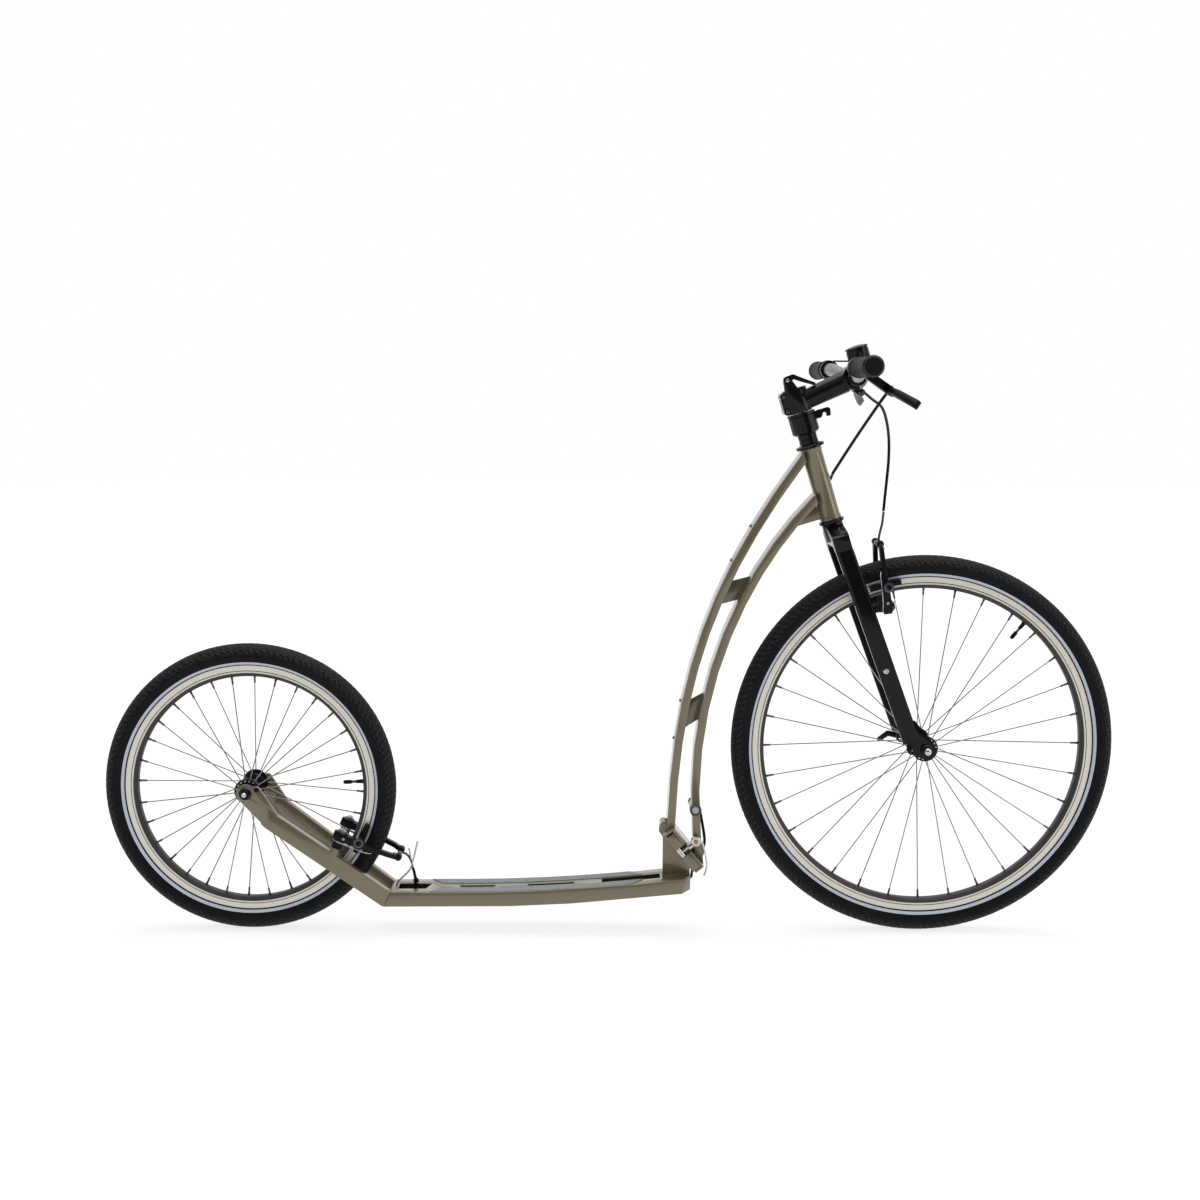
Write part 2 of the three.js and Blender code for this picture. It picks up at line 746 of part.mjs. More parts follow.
// Fold joint, upper half: a channel that wraps the block, with two lugs beside the lower one
const channelOutline = [
  [0, 0], [0, channelRise], [channelRun, channelRise], [channelRun, channelLip],
  [channelRun - channelWall, channelLip], [channelRun - channelWall, channelRise - channelWall],
  [channelWall, channelRise - channelWall], [channelWall, 0],
];
const sideLug = (extra, from, to) =>
  hull([
    ...boss(hingePinRun, hingePinRise, knuckleRadius + extra, from, to),
    ...boss(channelWall / 2, hingePinRise - knuckleRadius, channelWall / 2 + extra, from, to, 8),
    ...boss(channelWall / 2, channelRise - channelWall / 2, channelWall / 2 + extra, from, to, 8),
  ]);
const lugFrom = webThickness / 2 + runningGap;
const lugTo = lugFrom + knuckleSide;
const pinHead = lugTo + seatGap;
const sideLugs = [sideLug(0, -lugTo, -lugFrom), sideLug(0, lugFrom, lugTo)];
const lugSlot = box(
  knuckleRadius * 2, webThickness + runningGap * 2, channelRise,
  at(channelWall - knuckleRadius, 0, 0),
);
const channel = cut(
  fuse(plate(channelOutline, -halfWidth, halfWidth), sideLugs),
  disc(hingePinRadius + seatGap, -halfWidth, halfWidth, 16).translate(hingePinRun, 0, hingePinRise),
  lugSlot,
  box(latchSlot, latchAcross, channelRise * 2, at(latchRun, slotInner - latchAcross / 2, channelRise)),
);
add(jointGroup, "hinge_channel", channel, framePaint);
const pin = fuse(
  disc(hingePinRadius, -pinHead, pinHead, 16),
  disc(hingePinRadius * 1.7, pinHead, pinHead + hingePinRadius, 12),
  disc(hingePinRadius * 1.7, -pinHead - hingePinRadius, -pinHead, 12),
).translate(hingePinRun, 0, hingePinRise);
add(jointGroup, "fold_pin", pin, steel);

// Fold latch: a barrel with its rod and seat, and a cam lever that pulls it tight
const barrelFrom = latchRun - barrelLength / 2;
const barrelTo = latchRun + barrelLength / 2;
const camGap = camRadius + seatGap;
const skewer = fuse(
  rod(at(barrelFrom, -latchAcross, latchRise), at(barrelTo, -latchAcross, latchRise), barrelRadius, 10),
  rod(
    at(barrelFrom - barrelPinLength, -latchAcross, latchRise),
    at(barrelTo + barrelPinLength, -latchAcross, latchRise),
    barrelPin,
    8,
  ),
  bar(
    at(latchRun, -latchAcross, latchRise),
    at(latchRun, -latchAcross, camRise),
    [
      [0, rodRadius],
      [channelRise + seatGap - latchRise, rodRadius],
      [channelRise + seatGap - latchRise, seatRadius],
      [camRise - camGap - latchRise, seatRadius],
      [camRise - camGap - latchRise, rodRadius],
      [camRise - latchRise - camRadius / 3, rodRadius],
    ],
    10,
  ),
  rod(
    at(latchRun, -latchAcross - camWidth / 2 - seatGap * 2, camRise),
    at(latchRun, -latchAcross + camWidth / 2 + seatGap * 2, camRise),
    rodRadius,
    12,
  ),
);
add(jointGroup, "fold_skewer", skewer, steel);
const camFrom = -latchAcross - camWidth / 2;
const camTo = -latchAcross + camWidth / 2;
const leverStations = [
  [latchRun + camRadius * 0.6, camRise + camRadius * 0.3, camRadius * 0.65],
  [latchRun + camRadius * 2.4, camRise + camRadius * 0.1, camRadius * 0.4],
  [latchRun + camRadius * 4.6, camRise - camRadius * 0.5, camRadius * 0.36],
  [latchRun + camRadius * 6.1, camRise - camRadius * 1.4, camRadius * 0.34],
  [latchRun + camRadius * 7, camRise - camRadius * 2.5, camRadius * 0.3],
];
const camSlot = box(camRadius * 4, rodRadius * 2 + runningGap * 2, camRadius * 2.4, at(latchRun - camRadius * 0.2, -latchAcross, camRise - camRadius * 0.75));
const foldLever = cut(
  fuse(
    disc(camRadius, camFrom, camTo, 14).translate(latchRun, 0, camRise),
    arm(leverStations, camFrom + camWidth / 5, camTo - camWidth / 5, 10),
  ),
  disc(rodRadius + seatGap, camFrom - overrun, camTo + overrun, 10).translate(latchRun, 0, camRise),
  camSlot,
);
add(jointGroup, "fold_lever", foldLever, steel);

// Arched tubes: rectangular section bent along a curve from the head tube to the fold joint
const heel = fromJoint(0, 0, channelRise);
function archCurve({ drop, startAngle, startPull, endAngle, endPull }, foot) {
  const top = fromSteering(-archStart, 0, -drop);
  const start = new THREE.Vector2(top.x, top.z);
  const end = new THREE.Vector2(heel.x + foot.ahead, heel.z + foot.above);
  const toward = (from, angle, pull) =>
    new THREE.Vector2(from.x + pull * Math.cos(radians(angle)), from.y + pull * Math.sin(radians(angle)));
  const startHandle = toward(start, startAngle, startPull);
  const endHandle = toward(end, endAngle, endPull);
  return new THREE.CubicBezierCurve(start, startHandle, endHandle, end);
}
const rearCurve = archCurve(rearArch, rearArchFoot);
const frontCurve = archCurve(frontArch, frontArchFoot);

// A line beside a curve: positive offsets lie towards the front wheel
function beside(curve, share, offset) {
  const point = curve.getPoint(share);
  const tangent = curve.getTangent(share);
  return [point.x - tangent.y * offset, point.y + tangent.x * offset];
}
function archStrip(curve, fromOffset, toOffset) {
  const shares = Array.from({ length: archSteps + 1 }, (_, i) => i / archSteps);
  const stretch = (offset) => {
    const line = shares.map((share) => beside(curve, share, offset));
    const startSlope = curve.getTangent(0);
    const endSlope = curve.getTangent(1);
    const first = [line[0][0] - startSlope.x * archWidth, line[0][1] - startSlope.y * archWidth];
    const last = [line[archSteps][0] + endSlope.x * archWidth, line[archSteps][1] + endSlope.y * archWidth];
    return [first, ...line, last];
  };
  return [...stretch(fromOffset), ...stretch(toOffset).reverse()];
}
const archBand = (curve, half) => archStrip(curve, -half, half);
const headKeepOut = box(
  archWidth * 2, archWidth * 2, headTubeLength * 2,
  at(archWidth - headCutSetback, 0, -headTubeLength / 2),
);
const headClear = disc(headRadius + seatGap, -headTubeLength * 2, headTubeLength, 32, "z");
const headTools = [headKeepOut, headClear].map((tool) => moved(tool, steerMatrix));
const channelKeepOut = moved(
  plate(
    [[-channelRun, -channelRun], [-channelRun, 0], [-seatGap, 0], [-seatGap, channelRise + seatGap],
      [channelRun * 2, channelRise + seatGap], [channelRun * 2, -channelRun]],
    -archWidth,
    archWidth,
  ),
  jointMatrix,
);
const knuckleKeepOut = moved(sideLug(seatGap, -pinHead - overrun, pinHead + overrun), jointMatrix);
function archTube(curve) {
  const outer = plate(archBand(curve, archThickness / 2), -archWidth / 2, archWidth / 2);
  const inner = plate(archBand(curve, archThickness / 2 - archWall), archWall - archWidth / 2, archWidth / 2 - archWall);
  return cut(outer, inner, headTools, channelKeepOut, knuckleKeepOut);
}
function shareAtHeight(curve, height) {
  let low = 0;
  let high = 1;
  for (let i = 0; i < 40; i += 1) {
    const middle = (low + high) / 2;
    if (curve.getPoint(middle).y > height) low = middle;
    else high = middle;
  }
  return low;
}
const studs = studHeights.map((height) => {
  const share = shareAtHeight(rearCurve, height);
  const [fromX, fromZ] = beside(rearCurve, share, archWall / 2 - archThickness / 2);
  const [toX, toZ] = beside(rearCurve, share, -archThickness / 2 - studHeight);
  return rod(at(fromX, 0, fromZ), at(toX, 0, toZ), studRadius, 8);
});
add(bike, "rear_arch", fuse(archTube(rearCurve), studs), framePaint);
const bushingShare = shareAtHeight(frontCurve, bushingHeight);
const bushingAt = frontCurve.getPoint(bushingShare);
const bushingHalf = archWidth / 2 + bushingProud;
const crossBoss = disc(bushingRadius, -bushingHalf, bushingHalf, 16).translate(bushingAt.x, 0, bushingAt.y);
const crossBores = [-1, 1].map((side) => {
  const [from, to] = side > 0 ? [bushingHalf - bushingProud, bushingHalf + overrun] : [-bushingHalf - overrun, bushingProud - bushingHalf];
  return disc(bushingBore, from, to, 10).translate(bushingAt.x, 0, bushingAt.y);
});
const footPlate = disc(footGussetRadius, -gussetThickness / 2, gussetThickness / 2, 18)
  .translate(footGussetRun, 0, channelRise);
const footGusset = cut(moved(footPlate, jointMatrix), channelKeepOut);
add(bike, "front_arch", cut(fuse(archTube(frontCurve), crossBoss, footGusset), crossBores), framePaint);

// Thin plates between the arches, and at the head tube and the foot of the front arch
const keptClear = (curve) => plate(archBand(curve, archThickness / 2 + seatGap), -archWidth / 2, archWidth / 2);
const archesClear = [keptClear(rearCurve), keptClear(frontCurve)];
function archGusset({ rearFoot, rearLength, frontFoot, frontLength }) {
  const corner = (curve, height) => beside(curve, shareAtHeight(curve, height), 0);
  const outline = [
    corner(rearCurve, rearFoot + rearLength),
    corner(rearCurve, rearFoot),
    corner(frontCurve, frontFoot),
    corner(frontCurve, frontFoot + frontLength),
  ];
  return cut(plate(outline, -gussetThickness / 2, gussetThickness / 2), archesClear);
}
add(bike, "upper_arch_gusset", archGusset(upperGusset), framePaint);
add(bike, "lower_arch_gusset", archGusset(lowerGusset), framePaint);
const headGussetFoot = headTubeLength - headGussetFootGap;
const headGussetTop = headGussetFoot - headGussetHeight;
const headGussetOutline = [
  [-headRadius - seatGap, -headGussetTop],
  [-headRadius - seatGap, -headGussetFoot],
  [-headRadius - (headGussetReach * 2) / 3, -headGussetFoot],
  [-headRadius - headGussetReach, headRadius / 3 - headGussetFoot],
];
const headGusset = cut(
  moved(plate(headGussetOutline, -gussetThickness / 2, gussetThickness / 2), steerMatrix),
  plate(archStrip(frontCurve, -archWidth * 1.5, archThickness / 2 + seatGap), -archWidth / 2, archWidth / 2),
);
add(bike, "head_gusset", headGusset, framePaint);

// Head tube and headset
add(steering, "head_tube", sleeve(headRadius, headBore, -headTubeLength, 0, 20, "z"), framePaint);
const bearingBore = steererRadius + runningGap;
const upperCup = turned(
  [
    [bearingBore, seatGap],
    [upperCupRadius, seatGap],
    [upperCupRadius, seatGap + upperCupHeight],
    [spacerRadius + 2 * seatGap, seatGap + upperCupHeight + 2],
    [bearingBore, seatGap + upperCupHeight + 2],
    [bearingBore, seatGap],
  ],
  16,
  "z",
);
add(steering, "upper_headset_cup", upperCup, blackGloss);
const lowerCup = sleeve(
  lowerCupRadius, bearingBore, -headTubeLength - seatGap - lowerCupHeight, -headTubeLength - seatGap, 16, "z",
);
add(steering, "lower_headset_cup", lowerCup, blackGloss);

// Fork crown with its steerer
const crownTop = -headTubeLength - seatGap - lowerCupHeight - seatGap;
const shoulder = crownTop - crownNeckLength;
const crownBottom = shoulder - crownHeight;
const legOuter = forkHalfSpan + legWidth / 2;
const legInner = forkHalfSpan - legWidth / 2;
const crownSpan = [
  [-legOuter, crownBottom], [-legOuter, shoulder - 6], [-legOuter + 7, shoulder], [-crownNeckRadius, crownTop - 4],
  [crownNeckRadius, crownTop - 4], [legOuter - 7, shoulder], [legOuter, shoulder - 6], [legOuter, crownBottom],
  [legInner, crownBottom], [legInner - 8, crownBottom + 9], [8 - legInner, crownBottom + 9], [-legInner, crownBottom],
];
const quarterTurn = new THREE.Matrix4().makeRotationZ(Math.PI / 2);
const crownBody = moved(plate(crownSpan, legLead - legWidth, legWidth - legLead), quarterTurn);
const crownSlab = crownBody.intersect(
  box(crownDepth, legOuter * 3, headTubeLength * 2, at(legLead / 2, 0, crownBottom)),
);
const steererTop = collarTop - collarGroove * 3;
const crown = cut(
  fuse(
    crownSlab,
    disc(crownNeckRadius, crownBottom + crownHeight / 2, crownTop, 16, "z"),
    disc(steererRadius, crownTop - overrun, steererTop, 16, "z"),
  ),
  disc(steererBore, crownTop + overrun, steererTop + overrun, 14, "z"),
);
add(steering, "fork_crown", crown, blackGloss);
const spacerBottom = seatGap * 2 + upperCupHeight + 2;
add(steering, "steerer_spacer", sleeve(spacerRadius, steererRadius + seatGap, spacerBottom, spacerTop, 16, "z"), blackGloss);

// Ribbed collar that clamps the sliding post
const collarBottom = spacerTop + seatGap;
const collarProfile = [
  [steererRadius + seatGap, collarBottom],
  [collarRadius - collarGroove * 2, collarBottom],
  [collarRadius, collarBottom + collarGroove * 2],
  [collarRadius, collarTop - collarGroove * 4],
  [collarRadius - collarGroove / 2, collarTop - collarGroove * 3.5],
  [collarRadius + collarGroove / 3, collarTop - collarGroove * 3],
  [collarRadius + collarGroove / 3, collarTop],
  [steererRadius + seatGap, collarTop],
  [steererRadius + seatGap, collarBottom],
];
const flutes = Array.from({ length: collarRibs }, (_, i) => {
  const turn = (i * 2 * Math.PI) / collarRibs + 0.1;
  const reach = collarRadius + collarGroove;
  return disc(collarGroove * 1.6, collarBottom + collarGroove * 3, collarTop - collarGroove * 4.5, 4, "z").translate(
    reach * Math.cos(turn),
    reach * Math.sin(turn),
    0,
  );
});
const hookEar = [-1, 1].map((side) =>
  hull([
    ...boss(hookPivot.ahead, hookPivot.above, 5, side > 0 ? hookWidth / 2 + seatGap : -hookWidth / 2 - seatGap - 2.5, side > 0 ? hookWidth / 2 + seatGap + 2.5 : -hookWidth / 2 - seatGap, 10),
    ...boss(collarRadius - 5, hookPivot.above, 5, side > 0 ? hookWidth / 2 + seatGap : -hookWidth / 2 - seatGap - 2.5, side > 0 ? hookWidth / 2 + seatGap + 2.5 : -hookWidth / 2 - seatGap, 10),
  ]),
);
const hookPin = disc(1.6, -hookWidth / 2 - 2, hookWidth / 2 + 2, 8).translate(hookPivot.ahead, 0, hookPivot.above);
add(steering, "height_collar", fuse(cut(turned(collarProfile, 18, "z"), flutes), hookEar, hookPin), blackMatte);
const hook = cut(
  arm(
    [
      [hookPivot.ahead, hookPivot.above, 3.6],
      [hookPivot.ahead + hookReach * 0.9, hookPivot.above + 2.4, 3.2],
      [hookPivot.ahead + hookReach, hookPivot.above - hookDrop * 0.8, 2.6],
    ],
    -hookWidth / 2,
    hookWidth / 2,
    10,
  ),
  disc(1.6 + seatGap, -hookWidth, hookWidth, 10).translate(hookPivot.ahead, 0, hookPivot.above),
);
add(steering, "height_hook", hook, blackMatte);

// Rim brakes: both arms of a brake swing on posts that stand on the fork legs or the stays
function brakeMatrix(axle, radius, padAngle, armAngle, flipped) {
  const track = radius - tyreHeight - trackHeight / 2;
  const out = at(Math.cos(radians(armAngle)), 0, Math.sin(radians(armAngle)));
  const face = at(out.z, 0, -out.x).multiplyScalar(flipped ? -1 : 1);
  const pad = at(axle.x + track * Math.cos(radians(padAngle)), 0, axle.z + track * Math.sin(radians(padAngle)));
  const origin = pad.addScaledVector(out, -padRise).addScaledVector(face, -padAhead);
  const across = out.clone().cross(face);
  return new THREE.Matrix4().makeBasis(face, across, out).setPosition(origin);
}
function brakeArm(sign, padSlope) {
  const spine = [
    [postHalfSpan, -armThickness * 0.6, armThickness * 0.5],
    [postHalfSpan, 0, armThickness * 0.72],
    [postHalfSpan + 1, armLength * 0.3, armThickness * 0.62],
    [postHalfSpan - 3, armLength * 0.62, armThickness * 0.5],
    [armTopHalfSpan + 9, armLength * 0.9, armThickness * 0.45],
    [armTopHalfSpan, armLength, armThickness * 0.45],
  ];
  const flat = arm(spine, -armThickness * 0.75, armThickness * 0.35, 8);
  const body = moved(flat, new THREE.Matrix4().makeRotationZ(Math.PI / 2));
  const padInner = rimWidth / 2 + padGap;
  const pad = solidOf(
    new THREE.BoxGeometry(padLength, padDepth, padHeight)
      .rotateY(padSlope)
      .translate(padAhead, padInner + padDepth / 2, padRise),
  );
  const stud = bar(
    at(padAhead, padInner + padDepth / 2, padRise),
    at(padAhead, postHalfSpan * 2, padRise),
    [
      [0, postRadius],
      [postHalfSpan + armThickness - padInner - padDepth / 2, postRadius],
    ],
    10,
  );
  const nut = disc(armThickness / 2, postHalfSpan + armThickness * 0.5, postHalfSpan + armThickness * 0.9, 6)
    .translate(padAhead, 0, padRise);
  const bore = rod(at(-armThickness * 2, postHalfSpan, 0), at(armThickness * 2, postHalfSpan, 0), postRadius + seatGap, 10);
  const whole = cut(fuse(body, pad, stud, nut), bore);
  if (sign < 0) return moved(whole, new THREE.Matrix4().makeScale(1, -1, 1));
  const wire = rod(
    at(bootAhead, armTopHalfSpan, armLength),
    at(bootAhead, bootOpen + wireGap, armLength),
    wireRadius,
    8,
  );
  return fuse(whole, wire);
}
// The bent tube that leads the cable in at the other arm, with the rubber boot over the wire
function noodle(points) {
  const head = at(bootAhead, bootClosed, armLength);
  const tube = sweep([...points.map(([x, y, z]) => at(x, y, z)), head], noodleRadius, 6, 8);
  const boot = turned(
    [
      [0, bootClosed - noodleRadius], [bootRadius * 0.7, bootClosed - noodleRadius], [bootRadius, bootClosed],
      [bootRadius, bootOpen], [bootRadius - bootWall, bootOpen], [bootRadius - bootWall, bootClosed], [0, bootClosed],
    ],
    10,
  ).translate(bootAhead, 0, armLength);
  return fuse(tube, boot);
}
// The post on which an arm turns, with the boss behind it and the bolt head before it
function brakePost(sign, bossLength) {
  const back = -armThickness * 0.35 - seatGap;
  const front = armThickness * 0.75 + seatGap;
  return bar(
    at(back - bossLength, sign * postHalfSpan, 0),
    at(front + postHeadHeight, sign * postHalfSpan, 0),
    [
      [0, postBossRadius],
      [bossLength, postBossRadius],
      [bossLength, postRadius],
      [bossLength + front - back, postRadius],
      [bossLength + front - back, postHeadRadius],
      [bossLength + front - back + postHeadHeight, postHeadRadius],
    ],
    10,
  );
}
const steerInverse = steerMatrix.clone().invert();
const frontBrakeMatrix = brakeMatrix(frontAxle, frontWheelRadius, frontPadAngle, frontBrakeAngle, false);
const rearBrakeMatrix = brakeMatrix(rearAxle, rearWheelRadius, rearPadAngle, rearBrakeAngle, true);
const brakes = [
  ["front", frontBrakeMatrix, radians(frontBrakeAngle - frontPadAngle), frontNoodle],
  ["rear", rearBrakeMatrix, radians(rearPadAngle - rearBrakeAngle), rearNoodle],
];
for (const [place, matrix, padSlope, noodlePoints] of brakes) {
  const group = new THREE.Group();
  group.applyMatrix4(matrix);
  bike.add(group);
  const flip = place === "rear" ? -1 : 1;
  for (const [side, sign] of sides([0])) {
    add(group, `${place}_brake_arm_${side}`, brakeArm(sign * flip, padSlope), blackMatte);
  }
  add(group, `${place}_noodle`, noodle(noodlePoints), steel);
}

// Fork legs: chamfered rectangular blades that curve forward, each with its dropout
const legTop = crownBottom - seatGap;
const legFoot = legEndAboveAxle - forkLength;
function legRing(share, sign) {
  const half = legDepth / 2;
  const wide = (legWidth + (legFootWidth - legWidth) * share) / 2;
  const ahead = legLead + legBend * share ** 1.15;
  const above = legTop + (legFoot - legTop) * share;
  const c = legChamfer;
  const outline = [
    [half, wide - c], [half - c, wide], [c - half, wide], [-half, wide - c],
    [-half, c - wide], [c - half, -wide], [half - c, -wide], [half, c - wide],
  ];
  return outline.map(([x, y]) => at(ahead + x, sign * forkHalfSpan + y, above));
}
for (const [side, sign] of sides([0])) {
  const blade = loft([0, 0.25, 0.5, 0.75, 1].map((share) => legRing(share, sign)));
  const [from, to] = sign > 0 ? [dropoutInner, dropoutOuter] : [-dropoutOuter, -dropoutInner];
  const plateParts = fuse(
    hull([
      ...boss(forkOffset, -forkLength, dropoutRadius, from, to, 14),
      ...boss(forkOffset - dropoutRadius * 0.55, legFoot + legDepth, 5, from, to, 8),
      ...boss(legLead + legBend, legFoot + legDepth / 2, 6, from, to, 8),
    ]),
    hull([
      ...boss(forkOffset, -forkLength, dropoutRadius * 0.7, from, to, 8),
      ...boss(forkOffset - eyeletBack, eyeletAbove - forkLength, eyeletRadius, from, to, 10),
      ...boss(legLead + legBend - 2, legFoot + 6, 6, from, to, 8),
    ]),
  );
  const axleHole = disc(axleRadius + seatGap, from - overrun, to + overrun, 12).translate(forkOffset, 0, -forkLength);
  const eyelet = disc(eyeletRadius * 0.4, from - overrun, to + overrun, 8)
    .translate(forkOffset - eyeletBack, 0, eyeletAbove - forkLength);
  const post = moved(brakePost(sign, postBossRadius * 2.6), steerInverse.clone().multiply(frontBrakeMatrix));
  add(steering, `fork_leg_${side}`, cut(fuse(blade, plateParts, post), axleHole, eyelet), blackGloss);
}

// Rear stays: rectangular tubes that splay out to the dropouts, each with its brake post
const stayStart = at(deckRear - seatGap, 0, deckHeight - deckThickness / 2);
const stayEnd = at(rearAxle.x + stayEndBack, 0, rearAxle.z - stayEndDrop);
const stayRun = stayEnd.clone().sub(stayStart);
const stayLength = stayRun.length();
const along = stayRun.clone().normalize();
const square = at(along.z, 0, -along.x);
function stayPoint(distance, rise, across) {
  return stayStart.clone().addScaledVector(along, distance).addScaledVector(square, rise).setY(across);
}
const stayOuterAt = (distance) => deckWidth / 2 + ((stayRearSpan - deckWidth) / 2) * (distance / stayLength);
function stayRing(topAt, bottomAt, sign, tuck) {
  const corner = (distance, rise, inner) =>
    stayPoint(distance, rise, sign * (inner ? stayOuterAt(distance) - stayWidth + tuck / 2 : stayOuterAt(distance) - tuck));
  return [
    corner(topAt, stayDepth / 2, true), corner(topAt, stayDepth / 2, false),
    corner(bottomAt, -stayDepth / 2, false), corner(bottomAt, -stayDepth / 2, true),
  ];
}
for (const [side, sign] of sides([0])) {
  const slope = (Math.tan(Math.atan2(along.z, -along.x)) * stayDepth) / 2;
  const first = [
    at(deckRear + deckMitreLean / 2 - seatGap, 0, deckHeight),
    at(deckRear - deckMitreLean / 2 - seatGap, 0, deckHeight - deckThickness),
  ];
  const ringStart = [
    at(first[0].x, sign * (deckWidth / 2 - stayWidth), first[0].z),
    at(first[0].x, (sign * deckWidth) / 2, first[0].z),
    at(first[1].x, (sign * deckWidth) / 2, first[1].z),
    at(first[1].x, sign * (deckWidth / 2 - stayWidth), first[1].z),
  ];
  const tube = loft([
    ringStart,
    stayRing(stayLength * 0.93 + slope / 4, stayLength * 0.93 - slope / 2, sign, 0),
    stayRing(stayLength * 0.97 + slope / 4, stayLength * 0.97 - slope / 2, sign, stayChamfer / 2),
  ]);
  const [from, to] = sign > 0 ? [dropoutInner, dropoutOuter] : [-dropoutOuter, -dropoutInner];
  const upper = stayPoint(stayLength * 0.9, stayDepth / 2 - 1, 0);
  const lower = stayPoint(stayLength * 0.9, 2 - stayDepth / 2, 0);
  const dropout = fuse(
    hull([
      ...boss(rearAxle.x, rearAxle.z, dropoutRadius, from, to, 14),
      ...boss(upper.x, upper.z, 2, from, to, 6),
      ...boss(lower.x, lower.z, 2, from, to, 6),
    ]),
    hull([
      ...boss(rearAxle.x + dropoutRadius * 1.25, rearAxle.z + dropoutRadius * 0.42, 4.5, from, to, 10),
      ...boss(rearAxle.x, rearAxle.z, dropoutRadius * 0.8, from, to, 8),
      ...boss(upper.x, upper.z, 2, from, to, 6),
    ]),
  );
  const flip = -1;
  const post = moved(brakePost(sign * flip, postBossRadius * 4.6), rearBrakeMatrix);
  const axleHole = disc(axleRadius + seatGap, from - overrun, to + overrun, 12).translate(rearAxle.x, 0, rearAxle.z);
  add(bike, `stay_${side}`, cut(fuse(tube, dropout, post), axleHole), framePaint);
}

// Sliding post and stem
const column = new THREE.Group();
steering.add(column);
add(column, "sliding_post", disc(postTubeRadius, postFootGap - headTubeLength, stemTop - stemCapThickness - seatGap, 14, "z"), steel);
const neckStart = at(stemRadius * 0.4, 0, (stemBottom + stemTop) / 2 - 4);
const neckEnd = at(barAhead, 0, barAbove);
const neckLine = neckEnd.clone().sub(neckStart);
const neck = bar(
  neckStart,
  neckEnd,
  [[0, neckStartRadius], [neckLine.length() - barClampRadius * 0.7, neckEndRadius]],
  16,
);
const clampBody = disc(barClampRadius, -barClampWidth / 2, barClampWidth / 2, 18).translate(barAhead, 0, barAbove);
const splitTilt = radians(13);
const splitBox = solidOf(
  new THREE.BoxGeometry(barClampRadius * 4, barClampWidth * 2, barClampRadius * 4)
    .translate(barClampRadius * 2, 0, 0)
    .rotateY(-splitTilt)
    .translate(barAhead - barRadius * 0.3, 0, barAbove),
);
const barHole = disc(barRadius + seatGap, -barClampWidth, barClampWidth, 14).translate(barAhead, 0, barAbove);
const stemMiddle = (stemBottom + stemTop) / 2;
const earBoss = (ahead, above) =>
  boss(ahead, above, rearEarRadius, -rearEarWidth / 2, rearEarWidth / 2, 10);
const rearEar = hull([
  ...earBoss(rearEarRadius - stemRearReach, stemMiddle + 2.2 * rearEarRadius),
  ...earBoss(rearEarRadius - stemRearReach, stemMiddle - 2.4 * rearEarRadius),
  ...earBoss(-stemRadius / 2, stemTop - rearEarRadius),
  ...earBoss(-stemRadius / 2, stemBottom + rearEarRadius),
]);
const earSlot = box(
  stemRearReach * 2, rearEarSlot, (stemTop - stemBottom) * 2,
  at(-stemRadius - stemRearReach / 3, 0, stemMiddle),
);
const earInner = stemLeverWidth / 2 + runningGap;
const earOuter = earInner + stemEarThickness;
const stemEars = [-1, 1].map((side) => {
  const [from, to] = side > 0 ? [earInner, earOuter] : [-earOuter, -earInner];
  return hull([
    ...boss(stemLeverPivot.ahead, stemLeverPivot.above, stemEarRadius, from, to, 12),
    ...boss(stemLeverPivot.ahead - stemEarRadius, stemTop - stemCapThickness, stemEarThickness, from, to, 8),
    ...boss(stemLeverPivot.ahead + stemEarRadius * 2, stemTop - stemCapThickness, stemEarThickness, from, to, 8),
  ]).translate(0, -stemLeverAcross, 0);
});
const stemPin = disc(stemPinRadius, -earOuter, earOuter, 10)
  .translate(stemLeverPivot.ahead, -stemLeverAcross, stemLeverPivot.above);
const stemBody = cut(
  fuse(disc(stemRadius, stemBottom, stemTop, 16, "z"), neck, clampBody, rearEar, stemEars),
  disc(postTubeRadius + seatGap, stemBottom - overrun, stemTop - stemCapThickness, 14, "z"),
  barHole,
  splitBox,
  earSlot,
);
add(column, "stem", fuse(stemBody, stemPin), blackGloss);
const capKeep = solidOf(
  new THREE.BoxGeometry(barClampRadius * 4, barClampWidth * 2, barClampRadius * 4)
    .translate(barClampRadius * 2 + capGap, 0, 0)
    .rotateY(-splitTilt)
    .translate(barAhead - barRadius * 0.3, 0, barAbove),
);
add(column, "bar_clamp_cap", cut(clampBody, barHole).intersect(capKeep), barMetal);

// Handlebar: a straight middle in the clamp, then a gentle rise and sweep back to straight ends
const barHalf = barSpan / 2;
const barEnd = barHalf - gripEndCap - seatGap;
const barBendEnd = barHalf - barStraightEnd;
const bendShares = [[0, 0], [0.16, 0.07], [0.5, 0.5], [0.84, 0.93], [1, 1]];
const bendStations = bendShares.map(([run, share]) => [barStraightHalf + (barBendEnd - barStraightHalf) * run, share]);
function barPlace(across) {
  const next = bendStations.findIndex(([y]) => y >= across);
  if (next === 0) return at(barAhead, across, barAbove);
  if (next < 0) return at(barEndAhead, across, barEndAbove);
  const [[y0, share0], [y1, share1]] = bendStations.slice(next - 1, next + 1);
  const share = share0 + ((share1 - share0) * (across - y0)) / (y1 - y0);
  return at(barAhead + (barEndAhead - barAhead) * share, across, barAbove + (barEndAbove - barAbove) * share);
}
function barSolid() {
  const rings = [];
  const count = 12;
  const halfPlaces = [...bendStations.map(([y]) => y), barEnd];
  for (const y of [...halfPlaces.map((place) => -place).reverse(), ...halfPlaces]) {
    const { x, z } = barPlace(Math.abs(y));
    rings.push(
      Array.from({ length: count }, (_, i) => (i * 2 * Math.PI) / count).map((turn) =>
        at(x + barRadius * Math.cos(turn), y, z + barRadius * Math.sin(turn)),
      ),
    );
  }
  return loft(rings);
}
